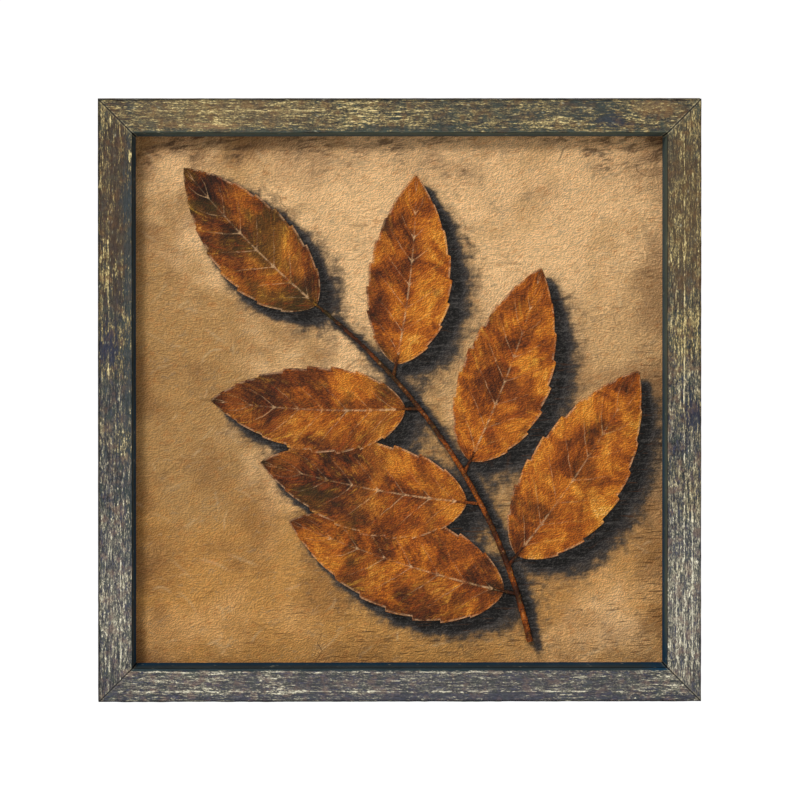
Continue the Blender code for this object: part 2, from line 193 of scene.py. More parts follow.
def bumped(height, distance, strength=1.0):
    sockets = {"Height": height, "Distance": distance, "Strength": strength}
    return outputOf(addNode("Bump", sockets), "Normal")


def newMaterial(name):
    material = bpy.data.materials.new(name)
    material.use_nodes = True
    tree = material.node_tree
    return material, tree, tree.nodes["Principled BSDF"]


def objectPlace(tree):
    return outputOf(addNode("TexCoord", {}, tree), "Object")


def attribute(tree, name, output="Fac"):
    return outputOf(addNode("Attribute", {}, tree, attribute_name=name), output)


def acrossAndUp(place):
    across, _, up = parted(place)
    return across, up - middleZ


# A node group built once and placed in each material with its own values. An input that has no value
# to start with is a vector.
def newGroup(name, inputs, outputs):
    group = bpy.data.node_groups.new(name, "ShaderNodeTree")
    for label, value in inputs.items():
        kind = "NodeSocketVector" if value is None else "NodeSocketFloat"
        socket = group.interface.new_socket(label, in_out="INPUT", socket_type=kind)
        if value is not None:
            socket.default_value = value
    for label in outputs:
        group.interface.new_socket(label, in_out="OUTPUT", socket_type="NodeSocketFloat")
    given = [Value(socket) for socket in group.nodes.new("NodeGroupInput").outputs if socket.name]
    return group, given, group.nodes.new("NodeGroupOutput")


def placeGroup(group, *values):
    made = addNode("Group", dict(enumerate(values)), node_tree=group)
    return [outputOf(made, number) for number in range(len(made.outputs))]


# Long broken fibres: lengthwise and crosswise are how many there are to a metre each way.
def buildGrainGroup():
    inputs = {"Vector": None, "Lengthwise": 60.0, "Crosswise": 1500.0, "Breaks": 6.0, "Seed": 0.0,
              "Wander": 0.25}
    group, given, result = newGroup("brushedGrain", inputs, ["Grain"])
    vector, lengthwise, crosswise, breaks, seed, wander = given
    along, across, _ = parted(vector)
    along, across = along * lengthwise, across * crosswise
    fibres = noiseAt(combined(along, across, seed), 1.0, 2.0, 0.5, wander)
    broken = noiseAt(combined(along * breaks, across, seed), 1.0, 2.0, 0.55, wander)
    join(remap(fibres * 0.5 + broken * 0.5, 0.29, 0.71), result, "Grain")
    return group


# Soft-edged patches, where Low and High are the noise values between which a patch fades in.
def buildPatchGroup():
    inputs = {"Vector": None, "Scale": 20.0, "Low": 0.5, "High": 0.6, "Seed": 0.0, "Detail": 4.0}
    group, given, result = newGroup("softPatches", inputs, ["Patch"])
    vector, scale, low, high, seed, detail = given
    cloud = noiseAt(moved(vector, combined(seed, seed, seed)), scale, detail, 0.6, 0.3)
    join(remap(cloud, low, high), result, "Patch")
    return group


# Dulling and scuffs for metal and rubber.
def buildTarnishGroup():
    inputs = {"Vector": None, "Scale": 400.0, "Amount": 0.5}
    group, (vector, scale, amount), result = newGroup("tarnish", inputs, ["Tarnish", "Scratches"])
    edge = 0.75 - amount * 0.5
    join(remap(noiseAt(vector, scale, 5.0, 0.65, 0.5), edge - 0.15, edge), result, "Tarnish")
    lines = noiseAt(vector, (500.0, 500.0, 9000.0), 2.0, turn=0.3)
    join(remap(lines, 0.45, 0.7), result, "Scratches")
    return group


# Height of brushed paint, wrinkled at two slants by turns, with thin raised knife lines here and there.
def buildWrinkleGroup():
    group, (vector,), result = newGroup("paintWrinkles", {"Vector": None}, ["Height"])
    slant = noiseAt(vector, (780.0, 200.0, 1500.0), 2.0, 0.6, 0.8, turn=0.45)
    level = noiseAt(vector, (620.0, 200.0, 1350.0), 2.0, 0.6, 0.8, turn=-0.20, shift=(5, 0, 2))
    turns = remap(noiseAt(vector, 26.0, 2.0), 0.44, 0.56)
    grit = noiseAt(vector, (1500.0, 200.0, 1500.0), 1.0, 0.5, 0.2)
    height = remap(mixValue(turns, slant, level), 0.32, 0.68) * 0.75 + grit * 0.35
    for scale, turn, shift in (((26.0, 10.0, 60.0), 0.35, (3, 0, 6)), ((64.0, 10.0, 22.0), 0.1, (8, 0, 1))):
        bends = noiseAt(vector, scale, 3.0, 0.5, 0.6, turn=turn, shift=shift)
        line = remap(abs(bends - 0.5), 0.0, 0.011, 1.0, 0.0)
        here = remap(noiseAt(vector, (38.0, 10.0, 38.0), shift=shift), 0.52, 0.62)
        height = line * here * 0.45 + height
    join(height, result, "Height")
    return group


grainGroup = buildGrainGroup()
patchGroup = buildPatchGroup()
wrinkleGroup = buildWrinkleGroup()
tarnishGroup = buildTarnishGroup()
print("shared node groups built")


def grainAt(place, lengthwise, crosswise, breaks, seed, wander=0.25):
    return placeGroup(grainGroup, place, lengthwise, crosswise, breaks, seed, wander)[0]


def patchesAt(place, scale, low, high, seed, detail=4.0):
    return placeGroup(patchGroup, place, scale, low, high, seed, detail)[0]


# Wrinkle height at a place, and how far the wrinkle there is turned up to the light at top left.
def wrinklesAt(place):
    height = placeGroup(wrinkleGroup, place)[0]
    nearer = placeGroup(wrinkleGroup, moved(place, (-0.0003, 0.0, 0.0003)))[0]
    return height, height - nearer


# Relief and shading are worked out as fields: numpy grids over a surface, read at any point.
def roughField(shape, pitch, seed, long, wide, turn=0.0):
    random = np.random.default_rng(seed)
    spectrum = np.fft.rfft2(random.standard_normal(shape))
    down = np.fft.fftfreq(shape[0], pitch)[:, None]
    right = np.fft.rfftfreq(shape[1], pitch)[None, :]
    first = right * cos(turn) + down * sin(turn)
    second = down * cos(turn) - right * sin(turn)
    spectrum *= np.exp(-0.5 * ((first * long * 2) ** 2 + (second * wide * 2) ** 2))
    field = np.fft.irfft2(spectrum, shape)
    return field / field.std()


def blurred(field, cells):
    reach = int(cells * 3)
    kernel = np.exp(-0.5 * (np.arange(-reach, reach + 1) / cells) ** 2)
    kernel /= kernel.sum()
    for axis in (0, 1):
        padding = [(reach, reach) if axis == i else (0, 0) for i in (0, 1)]
        padded = np.pad(field, padding, mode="edge")
        field = np.apply_along_axis(lambda line: np.convolve(line, kernel, mode="valid"), axis, padded)
    return field


def readField(field, rows, columns):
    rows = np.clip(rows, 0, field.shape[0] - 1.001)
    columns = np.clip(columns, 0, field.shape[1] - 1.001)
    i, j = rows.astype(int), columns.astype(int)
    a, b = rows - i, columns - j
    top = field[i, j] * (1 - b) + field[i, j + 1] * b
    bottom = field[i + 1, j] * (1 - b) + field[i + 1, j + 1] * b
    return top * (1 - a) + bottom * a


def smoothStep(value, low, high):
    t = np.clip((value - low) / (high - low), 0, 1)
    return t * t * (3 - 2 * t)


# Mesh helpers.
def meshPlaces(mesh):
    places = np.zeros(len(mesh.vertices) * 3)
    mesh.vertices.foreach_get("co", places)
    return places.reshape(-1, 3)


def meshNormals(mesh):
    normals = np.zeros(len(mesh.vertices) * 3)
    mesh.vertices.foreach_get("normal", normals)
    return normals.reshape(-1, 3)


def movePlaces(mesh, places):
    mesh.vertices.foreach_set("co", places.astype(np.float32).ravel())
    mesh.update()


def writeAttributes(mesh, **fields):
    for name, values in fields.items():
        kind, key = ("FLOAT_VECTOR", "vector") if values.ndim == 2 else ("FLOAT", "value")
        made = mesh.attributes.new(name, kind, "POINT")
        made.data.foreach_set(key, values.astype(np.float32).ravel())


def readAttribute(mesh, name):
    found = np.zeros(len(mesh.vertices))
    mesh.attributes[name].data.foreach_get("value", found)
    return found


def openMesh(mesh):
    bm = bmesh.new()
    bm.from_mesh(mesh)
    return bm


def closeMesh(bm, mesh):
    bm.to_mesh(mesh)
    bm.free()
    return mesh


def turnFacesOut(mesh, weld=0.0):
    bm = openMesh(mesh)
    if weld:
        bmesh.ops.remove_doubles(bm, verts=bm.verts, dist=weld)
    bmesh.ops.recalc_face_normals(bm, faces=bm.faces)
    closeMesh(bm, mesh)


# A fine grid from -1 to 1 each way, closed by one face behind it, and which points are at the back.
def closedGrid(name, rows, columns):
    bm = bmesh.new()
    bmesh.ops.create_grid(bm, x_segments=rows, y_segments=columns, size=1.0)
    rim = [e for e in bm.edges if e.is_boundary]
    grown = bmesh.ops.extrude_edge_only(bm, edges=rim)["geom"]
    back = [v for v in grown if isinstance(v, bmesh.types.BMVert)]
    bmesh.ops.translate(bm, verts=back, vec=(0, 0, -1))
    bmesh.ops.contextual_create(bm, geom=[e for e in grown if isinstance(e, bmesh.types.BMEdge)])
    mesh = closeMesh(bm, bpy.data.meshes.new(name))
    flat = meshPlaces(mesh)
    return mesh, flat, flat[:, 2] < -0.5


def evaluatedMesh(piece):
    graph = bpy.context.evaluated_depsgraph_get()
    return bpy.data.meshes.new_from_object(piece.evaluated_get(graph))


def linked(name, data):
    made = bpy.data.objects.new(name, data)
    bpy.context.scene.collection.objects.link(made)
    return made


def addPiece(name, mesh, material, smoothAngle=None):
    if smoothAngle:
        mesh.shade_smooth()
        mesh.set_sharp_from_angle(angle=radians(smoothAngle))
    piece = linked(name, mesh)
    mesh.materials.clear()
    mesh.materials.append(material)
    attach(piece, "root")
    return piece


# Frame: four lengths of moulding. Inward runs from the frame's outside, forward from its back.
moulding = {
    "lipWidth": 0.0024,  # slope, seen from the front
    "lipDrop": 0.0160,
    "lipThickness": 0.0020,
    "rabbetOverlap": 0.0065,
    "edgeRound": 0.0012,
    "innerRound": 0.0005,
    "facePitch": 0.00034,  # mesh size across the flat face
    "sidePitch": 0.0009,
    "backPitch": 0.0022,
    "steps": 300,  # mesh size along a rail
    "reliefPitch": 0.00025,
    "aroundLength": 0.11,  # a little more than once around the section
    "grainDepth": 0.00007,
    "lumpDepth": 0.00004,
    "dentDepth": 0.0003,
    "jointGap": 0.00005,
    "slotGap": 0.0003,
    # How far the slope's dark coat runs over onto the face
    "coatOver": {"top": 0.0006, "right": 0.0, "bottom": 0.0016, "left": 0.0003},
    # Length along the grain and width across it of each kind of relief
    "relief": [(0.0040, 0.00062), (0.012, 0.0013), (0.006, 0.0022), (0.0012, 0.0009)],
    "dentsFrom": (2.1, 3.2),  # height in the dents' field where one starts and where it is deepest
    "smoothAngle": 50,
}


def mouldingLine(look):
    faceWidth = railWidth - look["lipWidth"]
    legWidth = railWidth - look["rabbetOverlap"]
    sight = railDepth - look["lipDrop"]
    foot = sight - look["lipThickness"]

    def corner(centreIn, centreForward, radius, start, end, steps):
        angles = [radians(start + (end - start) * i / steps) for i in range(steps + 1)]
        return [(centreIn + radius * cos(a), centreForward + radius * sin(a)) for a in angles]

    edge, inner = look["edgeRound"], look["innerRound"]
    outline = [(legWidth, 0.0, "back"), (0.0, 0.0, "side")]
    outline += [(*p, "face") for p in corner(edge, railDepth - edge, edge, 180, 90, 6)]
    outline += [(*p, "side") for p in corner(faceWidth - inner, railDepth - inner, inner, 90, 15, 4)]
    outline += [(railWidth, sight, "back"), (railWidth, foot, "back"), (legWidth, foot, "back")]
    return outline


# The section is drawn once, cut to a fine pitch edge by edge, and swept along the rail.
def sweptRail(look):
    outline = mouldingLine(look)
    bm = bmesh.new()
    around = bm.verts.layers.float.new("around")
    verts = []
    run = 0.0
    for inward, forward, _ in outline:
        vert = bm.verts.new((-halfSide, backY - forward, halfSide - inward))
        run += (vert.co - verts[-1].co).length if verts else 0.0
        vert[around] = run
        verts.append(vert)
    edges = []
    for number, (_, _, zone) in enumerate(outline):
        edges.append((bm.edges.new((verts[number], verts[(number + 1) % len(verts)])), zone))
    for edge, zone in edges:
        cuts = int(edge.calc_length() / look[zone + "Pitch"])
        if cuts:
            bmesh.ops.subdivide_edges(bm, edges=[edge], cuts=cuts)
    section = bm.verts[:] + bm.edges[:]
    step = (2 * halfSide / look["steps"], 0, 0)
    bmesh.ops.spin(bm, geom=section, axis=(1, 0, 0), dvec=step, angle=0, steps=look["steps"])
    bmesh.ops.holes_fill(bm, edges=[e for e in bm.edges if e.is_boundary], sides=0)
    bmesh.ops.recalc_face_normals(bm, faces=bm.faces)
    return closeMesh(bm, bpy.data.meshes.new("railBlank"))


# Brushed grain and dents in the wood, and the masks that its paint follows.
def dressRail(mesh, look, seed, coatOver):
    places, normals = meshPlaces(mesh), meshNormals(mesh)
    along, around = places[:, 0], readAttribute(mesh, "around")
    inward, forward = halfSide - places[:, 2], backY - places[:, 1]
    pitch = look["reliefPitch"]
    shape = (int(look["aroundLength"] / pitch), int(2 * halfSide / pitch))
    rows, columns = around / pitch, (along + halfSide) / pitch
    fine, medium, lumps, dents = (
        readField(roughField(shape, pitch, seed + number, long, wide), rows, columns)
        for number, (long, wide) in enumerate(look["relief"])
    )
    relief = 0.5 * fine + 0.5 * medium
    hits = smoothStep(dents, *look["dentsFrom"])
    faceWidth = railWidth - look["lipWidth"]
    onFace = smoothStep(forward, railDepth - 0.002, railDepth - 0.0002) * (inward < faceWidth)
    coatEdge = faceWidth - coatOver - 0.00025 * fine * (coatOver > 0)
    onLip = smoothStep(inward, coatEdge - 0.0002, coatEdge + 0.0002)
    onLip = onLip * (forward > railDepth - look["lipDrop"] - 0.0002)
    onSide = smoothStep(-inward, -0.0006, -0.0001)
    share = np.clip(onFace + 0.2 * onLip + 0.55 * onSide, 0, 1)
    depth = share * (look["grainDepth"] * relief + look["lumpDepth"] * lumps - look["dentDepth"] * hits)
    movePlaces(mesh, places + normals * depth[:, None])
    outerArris = np.exp(-((inward / 0.0009) ** 2)) * (forward > railDepth - 0.0016)
    innerArris = np.exp(-(((inward - faceWidth) / 0.0002) ** 2)) * (forward > railDepth - 0.0016)
    down = smoothStep(railDepth - forward, look["lipDrop"] * 0.25, look["lipDrop"] * 0.8)
    fromJoint = (halfSide - np.abs(along)) - inward
    paint = np.clip((inward < 0.0002) + (forward > railDepth - look["lipDrop"] - 0.0003), 0, 1)
    overspray = smoothStep(forward + 0.0008 * medium, 0.0004, 0.0022)
    writeAttributes(
        mesh,
        grainPlace=np.stack([along, around, inward], 1),
        relief=np.clip(0.5 + 0.36 * relief, 0, 1),
        paint=paint * np.where(inward < 0.0002, overspray, 1.0),
        lip=onLip,
        slopeFoot=onLip * down,
        dent=hits,
        outerArris=outerArris,
        innerArris=innerArris,
        outerSide=onSide,
        fromJoint=fromJoint * 1000,
    )


# A copy of a steel piece, a little larger, cuts the slot that it was driven into.
def slotCutter(node, gap, collection):
    bm = openMesh(cadNodes[node].data)
    bmesh.ops.remove_doubles(bm, verts=bm.verts, dist=1e-6)
    bm.normal_update()
    outward = {v: v.normal * v.calc_shell_factor() for v in bm.verts}
    for vert, direction in outward.items():
        vert.co += direction * gap
        if vert.co.y > backY - 0.0002:
            vert.co.y += 0.001
    mesh = closeMesh(bm, bpy.data.meshes.new("slot_" + node))
    cutter = bpy.data.objects.new("slot_" + node, mesh)
    collection.objects.link(cutter)


def cutSlots(piece, names, gap):
    slots = bpy.data.collections.new("slots_" + piece.name)
    bpy.context.scene.collection.children.link(slots)
    for node in names:
        slotCutter(node, gap, slots)
    cut = piece.modifiers.new("slots", "BOOLEAN")
    cut.operation = "DIFFERENCE"
    cut.operand_type = "COLLECTION"
    cut.solver = "EXACT"
    cut.collection = slots
    mesh = evaluatedMesh(piece)
    piece.modifiers.clear()
    piece.data = mesh
    for cutter in list(slots.objects):
        bpy.data.objects.remove(cutter)
    bpy.data.collections.remove(slots)


def buildRail(side, quarterTurns, seed, look, material):
    mesh = sweptRail(look)
    dressRail(mesh, look, seed, look["coatOver"][side])
    bm = openMesh(mesh)
    for end in (-1, 1):
        joint = (end * (halfSide - look["jointGap"] * cos(pi / 4)), 0, halfSide)
        geometry = bm.verts[:] + bm.edges[:] + bm.faces[:]
        bmesh.ops.bisect_plane(bm, geom=geometry, plane_co=joint, plane_no=(end, 0, -1),
                               clear_outer=True, dist=1e-7)
    for end in (-1, 1):
        rim = [e for e in bm.edges if e.is_boundary and e.verts[0].co.x * end > 0]
        bmesh.ops.contextual_create(bm, geom=rim)
    bmesh.ops.recalc_face_normals(bm, faces=bm.faces)
    bmesh.ops.rotate(bm, verts=bm.verts, matrix=Matrix.Rotation(quarterTurns * pi / 2, 3, "Y"))
    bmesh.ops.translate(bm, verts=bm.verts, vec=(0, 0, middleZ))
    closeMesh(bm, mesh)
    mesh.name = side + "Rail"
    piece = addPiece(mesh.name, mesh, material)
    corner = quarterTurns + 1
    follows = corner % 4 + 1
    names = [f"point_{side}_{number}" for number in (1, 2)]
    names += [f"v_nail_{place}_{number}" for place in (corner, follows) for number in (1, 2)]
    if side == "top":
        names += ["hanger_nail_left", "hanger_nail_right"]
    cutSlots(piece, names, look["slotGap"])
    piece.data.shade_smooth()
    piece.data.set_sharp_from_angle(angle=radians(look["smoothAngle"]))
    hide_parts("rail_" + side)
    print(side, "rail built,", len(piece.data.polygons), "faces")


# Layers of olive and grey paint over blue-black, rubbed through to straw along the grain.
railPaint = {
    "warm": [(0.0, (22, 24, 24)), (0.22, (62, 57, 46)), (0.42, (98, 88, 62)), (0.60, (132, 116, 78)),
             (0.78, (166, 146, 98)), (0.92, (200, 180, 122)), (1.0, (232, 212, 152))],
    "cool": [(0.0, (22, 23, 31)), (0.22, (58, 58, 62)), (0.42, (91, 88, 84)), (0.60, (124, 119, 105)),
             (0.78, (162, 156, 134)), (0.92, (200, 193, 167)), (1.0, (238, 231, 206))],
    "coolBelow": -0.110,  # height from the middle where the cool greys take over
    "warmAbove": 0.080,
    "lipLight": (78, 86, 76),
    "lipDark": (46, 58, 62),
    # Painted shade at the foot of the slope and in its lower right corner
    "lipFootShade": (0, 50, 76),
    "brownHigh": (112, 78, 42),
    "brownLow": (132, 106, 92),
    "blue": (56, 62, 92),
    "green": (60, 72, 62),
    # Dark joints, and painted shade along the inner arris
    "black": (14, 13, 12),
    # Dark chipped paint and painted shade on the rounded outer edge and side
    "chippedAndShadedEdge": (18, 18, 19),
    "wornEdge": (188, 176, 140),
    "bareDent": (196, 190, 160),
    "pine": [(0.0, (150, 108, 66)), (0.5, (190, 150, 104)), (1.0, (212, 178, 132))],
    # Places where the coats differ: across and up from the middle, half size each way, lighter or
    # darker, colour and how much of it
    "zones": [
        ((-0.105, 0.167), (0.062, 0.012), 0.06, (150, 118, 72), 0.22),
        ((0.000, 0.1566), (0.176, 0.0030), -0.20, (62, 72, 64), 0.50),
        ((0.148, 0.170), (0.014, 0.005), 0.04, (150, 112, 66), 0.35),
        ((-0.110, 0.1595), (0.016, 0.0024), 0.12, (178, 132, 84), 0.45),
        ((0.045, 0.170), (0.060, 0.010), -0.03, (84, 84, 66), 0.20),
        ((0.120, 0.166), (0.017, 0.012), -0.16, (50, 60, 54), 0.45),
        ((0.123, 0.162), (0.011, 0.005), -0.18, (40, 44, 68), 0.50),
        ((0.100, 0.168), (0.030, 0.012), -0.10, (66, 70, 66), 0.30),
        ((-0.166, 0.115), (0.014, 0.064), -0.42, (86, 62, 40), 0.50),
        ((-0.1572, 0.030), (0.0036, 0.150), -0.14, (50, 62, 64), 0.60),
        ((-0.1585, 0.118), (0.0060, 0.016), -0.14, (48, 60, 64), 0.60),
        ((-0.166, 0.010), (0.014, 0.062), -0.12, (66, 68, 68), 0.28),
        ((-0.169, 0.032), (0.007, 0.014), -0.28, (38, 42, 66), 0.65),
        ((0.166, 0.110), (0.014, 0.060), -0.07, (104, 78, 42), 0.45),
        ((0.171, -0.008), (0.006, 0.012), -0.26, (40, 42, 64), 0.60),
        ((0.166, -0.120), (0.014, 0.050), 0.17, (120, 114, 112), 0.12),
        ((-0.166, -0.115), (0.014, 0.045), 0.08, (104, 100, 100), 0.12),
        ((0.000, -0.166), (0.170, 0.012), -0.06, (96, 90, 92), 0.28),
        ((0.000, -0.173), (0.176, 0.0042), -0.15, (66, 68, 84), 0.45),
    ],
    "streakDrift": 0.0003,
    "streakTone": 0.56,
    # Long straw streaks: distance in from the outside, half width, and the box that holds each
    "streaks": [
        (0.0060, 0.00034, (-0.176, -0.178), (0.160, -0.150)),
        (0.0172, 0.00020, (-0.150, -0.178), (0.060, -0.150)),
        (0.0098, 0.00032, (0.150, -0.165), (0.178, 0.160)),
        (0.0052, 0.00028, (0.150, -0.165), (0.178, -0.060)),
        (0.0142, 0.00028, (0.150, -0.160), (0.178, -0.090)),
        (0.0128, 0.00030, (-0.178, -0.160), (-0.150, -0.070)),
        (0.0058, 0.00030, (-0.178, 0.010), (-0.150, 0.110)),
        (0.0066, 0.00028, (-0.150, 0.150), (0.020, 0.178)),
    ],
}


def insideBox(across, up, low, high, soft):
    wide = remap(across, low[0] - soft, low[0] + soft) * remap(across, high[0] + soft, high[0] - soft)
    tall = remap(up, low[1] - soft, low[1] + soft) * remap(up, high[1] + soft, high[1] - soft)
    return wide * tall


def nearPlace(across, up, place, halfSize, ragged):
    sideways = (across - place[0]) / halfSize[0]
    upright = (up - place[1]) / halfSize[1]
    reach = sideways * sideways + upright * upright
    return remap(reach + ragged, 1.5, 0.4)


def railMaterial(look):
    material, tree, shader = newMaterial("distressedPaint")
    across, up = acrossAndUp(objectPlace(tree))
    grainPlace = attribute(tree, "grainPlace", "Vector")
    inward = parted(grainPlace)[2]
    # A rail's own side of the frame is added to its place, so that no two rails share a pattern
    seed = across * 0.7 + up * 0.9

    def grain(lengthwise, crosswise, breaks, shift, wander=0.9):
        return grainAt(grainPlace, lengthwise, crosswise, breaks, seed + shift, wander)

    fine = grain(240.0, 1500.0, 2.6, 0.0)
    coarse = grain(66.0, 800.0, 3.6, 7.3)
    tints = grain(130.0, 900.0, 3.0, 15.1)
    specks = noiseAt(grainPlace, (800.0, 1300.0, 0.0), 2.0, 0.6, 0.3)
    patch = noiseAt(objectPlace(tree), (34.0, 34.0, 34.0), 4.0, shift=(3.1, 0, 1.7))
    tone = fine * 0.40 + coarse * 0.26 + attribute(tree, "relief") * 0.16
    tone = tone + remap(specks, 0.25, 0.75, 0.0, 0.18)
    tone = tone * 2.25 + remap(patch, 0.30, 0.70, -0.81, -0.55)
    drift = look["streakDrift"]
    for depthIn, halfWidth, low, high in look["streaks"]:
        wobble = noiseAt(grainPlace, (30.0, 0.0, 0.0), 3.0, shift=(depthIn * 900, 0, 0))
        offset = inward - remap(wobble, 0.2, 0.8, depthIn - drift, depthIn + drift)
        near = remap(abs(offset), 0.0, halfWidth * 2, 1.0, 0.0)
        strength = near * remap(coarse, 0.30, 0.65, 0.35, 1.0)
        tone = tone + strength * insideBox(across, up, low, high, 0.01) * look["streakTone"]
    ragged = remap(coarse * 0.6 + patch, 0.2, 1.1, -0.8, 0.8)
    masks = []
    for middle, halfSize, lighter, _, _ in look["zones"]:
        masks.append(nearPlace(across, up, middle, halfSize, ragged))
        tone = tone + masks[-1] * lighter
    warmth = remap(up + remap(patch, 0.3, 0.7, -0.05, 0.05), look["coolBelow"], look["warmAbove"])
    colour = mixColour(warmth, colourRamp(tone, look["cool"]), colourRamp(tone, look["warm"]))
    # Tinges of brown, blue and green, most of all in the darker coats
    darker = remap(tone, 0.90, 0.35)
    hues = noiseAt(objectPlace(tree), (170.0, 60.0, 170.0), 4.0, 0.6, shift=(9.0, 0, 4.0))
    brown = mixColour(remap(up, -0.12, 0.10), look["brownLow"], look["brownHigh"])
    colour = mixColour(remap(hues, 0.48, 0.37, 0.0, 0.50), colour, brown)
    green = remap(hues, 0.51, 0.62, 0.0, 0.55) * darker
    blue = remap(tints, 0.45, 0.15, 0.0, 0.60) * remap(up, 0.16, -0.12, 0.22, 1.0) * darker
    colour = coated(colour, look, (green, "green"), (blue, "blue"))
    lasting = remap(tone, 1.0, 0.45, 0.4, 1.0)
    for mask, (_, _, _, tint, amount) in zip(masks, look["zones"]):
        colour = mixColour(mask * lasting * amount, colour, tint)
    # Fine dark and light lines that show in the darkest patches too
    colour = toned(colour, remap(grain(200.0, 1300.0, 2.5, 23.7), 0.1, 0.9, 0.72, 1.24))
    # The slope down to the picture is one dark coat, lighter above and at the right, with painted shade,
    # dark navy, at its foot and in its lower right corner
    lipColour = mixColour(remap(across + up, -0.02, 0.02), look["lipDark"], look["lipLight"])
    foot = attribute(tree, "slopeFoot") * remap(up, 0.16, -0.16, 0.35, 0.9)
    corner = remap(across, 0.135, 0.152) * remap(up, -0.125, -0.152, 0.0, 0.8)
    lipColour = coated(lipColour, look, (foot, "lipFootShade"), (corner, "lipFootShade"))
    lipTone = remap(fine, 0.0, 1.0, -0.12, 0.12) + remap(patch, 0.3, 0.7, 0.85, 1.15)
    lip = attribute(tree, "lip")
    colour = mixColour(lip, colour, toned(lipColour, lipTone))
    # Dark joints and painted shade along the inner arris; dark chipped paint with painted shade on the
    # rounded outer edge and side; a pale worn edge along one side of each joint
    fromJoint = attribute(tree, "fromJoint")
    jointLine = remap(fromJoint, 0.25, 0.7, 1.0, 0.0)
    jointEdge = remap(fromJoint, 0.5, 0.9) * remap(fromJoint, 1.5, 1.0)
    oneSide = jointEdge * remap(across + up, -0.02, 0.02, 0.2, 0.6)
    arris = maths("MAXIMUM", attribute(tree, "outerArris"), attribute(tree, "outerSide") * 0.65)
    chips = remap(coarse, 0.80, 0.92, 1.0, 0.25) * remap(across, 0.160, 0.172, 0.92, 0.35)
    dark = maths("MAXIMUM", attribute(tree, "innerArris"), jointLine)
    colour = coated(
        colour,
        look,
        (oneSide * remap(coarse, 0.2, 0.6), "wornEdge"),
        (arris * chips, "chippedAndShadedEdge"),
        (dark * 0.92, "black"),
        (attribute(tree, "dent") * 0.7, "bareDent"),
    )
    # Bare pine at the back and in the rabbet
    pineGrain = grain(14.0, 700.0, 3.0, 2.0, 0.25)
    painted = attribute(tree, "paint")
    join(mixColour(painted, colourRamp(pineGrain, look["pine"]), colour), shader, "Base Color")
    roughness = remap(tone + remap(patch, 0.3, 0.7, -0.2, 0.2), 0.1, 0.9, 0.52, 0.80)
    join(mixValue(lip, roughness, 0.70), shader, "Roughness")
    dull = maths("MAXIMUM", lip, arris)
    join(remap(dull, 0.0, 1.0, 0.35, 0.04), shader, "Specular IOR Level")
    height = mixValue(painted, pineGrain * 0.4, mixValue(lip, tone, fine * 0.15))
    join(bumped(height, 0.00035, 0.7), shader, "Normal")
    return material


paintedWood = railMaterial(railPaint)
for number, side in enumerate(("top", "right", "bottom", "left")):
    buildRail(side, number, 40 + 10 * number, moulding, paintedWood)


# Picture plane: x to the right and z up from its middle. The sprig follows the solid one in the frame.
sprig = {
    "stem": ((0.076, -0.141), (0.064, -0.086), (0.034, -0.014), (-0.042, 0.050)),
    "stemRadius": 0.0018,
    "stemTipRadius": 0.0010,
    "places": (0.16, 0.44, 0.72),
    "stagger": 0.09,
    "length": 0.136,
    "taper": 0.24,
    "width": 0.46,
    "footPower": 0.62,
    "tipPower": 0.85,
    "spread": 62,
    "spreadTaper": 10,
    "bow": 0.10,
    "stalk": 0.008,
    "tipLength": 0.110,
    "teeth": 8,
    "toothDepth": 0.07,
    "endHalfWidth": 0.0004,
    "rows": 200,
    "columns": 92,
    "edge": 0.00050,  # paint height at a leaf's edge
    "crown": 0.00070,
    "rib": 0.00045,
    "ribWidth": 0.0008,
    "vein": 0.00022,
    "veinWidth": 0.00045,
    "veinSweep": 0.20,
    "rim": 0.00018,
    "rimWidth": 0.0005,
    "stroke": 0.00006,
    "stemSteps": 240,
    "stemKnots": 0.00012,
    "stemCover": 0.0022,  # half width of the stem where it casts its shade
    "coverSteps": 160,
    "bedBlur": 4,  # cells over which a leaf eases the step onto what lies under it
    # Painted shadow beside the leaves: how far it falls right and down, its softness and its strength
    "shades": [(0.005, 0.005, 0.0018, 0.70), (0.012, 0.010, 0.0080, 0.80)],
    "strokePitch": 0.0003,
    "strokeField": (0.15, 0.08),
}
fieldPitch = 0.0005
fieldSize = int(2 * canvasHalf / fieldPitch) + 1


def fieldPlaces():
    line = np.linspace(-canvasHalf, canvasHalf, fieldSize)
    return np.meshgrid(line, line)


def readPicture(field, x, z):
    scale = (fieldSize - 1) / (2 * canvasHalf)
    return readField(field, (z + canvasHalf) * scale, (x + canvasHalf) * scale)


def stemPoint(t):
    a, b, c, d = (np.array(point) for point in sprig["stem"])
    u = 1 - t
    return a * u**3 + b * 3 * u * u * t + c * 3 * u * t * t + d * t**3


def stemDirection(t):
    line = stemPoint(min(t + 0.001, 1.0)) - stemPoint(max(t - 0.001, 0.0))
    return line / np.hypot(*line)


def leafList():
    leaves = []
    for place in sprig["places"]:
        for side in (1, -1):
            t = place + (sprig["stagger"] if side < 0 else 0.0)
            angle = radians(side * (sprig["spread"] - sprig["spreadTaper"] * t))
            dx, dz = stemDirection(t)
            direction = np.array((dx * cos(angle) - dz * sin(angle), dx * sin(angle) + dz * cos(angle)))
            leaves.append((stemPoint(t), direction, sprig["length"] * (1 - sprig["taper"] * t), side))
    leaves.append((stemPoint(1.0), stemDirection(1.0), sprig["tipLength"], 1))
    return leaves


def leafHalfWidth(share, length):
    share = np.clip(share, 0, 1)
    foot, tip = sprig["footPower"], sprig["tipPower"]
    widest = foot / (foot + tip)
    fullest = widest**foot * (1 - widest) ** tip
    body = share**foot * (1 - share) ** tip / fullest
    tooth = 1 - sprig["toothDepth"] * (1 - (share * sprig["teeth"]) % 1.0)
    return np.maximum(sprig["width"] * length / 2 * body * tooth, sprig["endHalfWidth"])


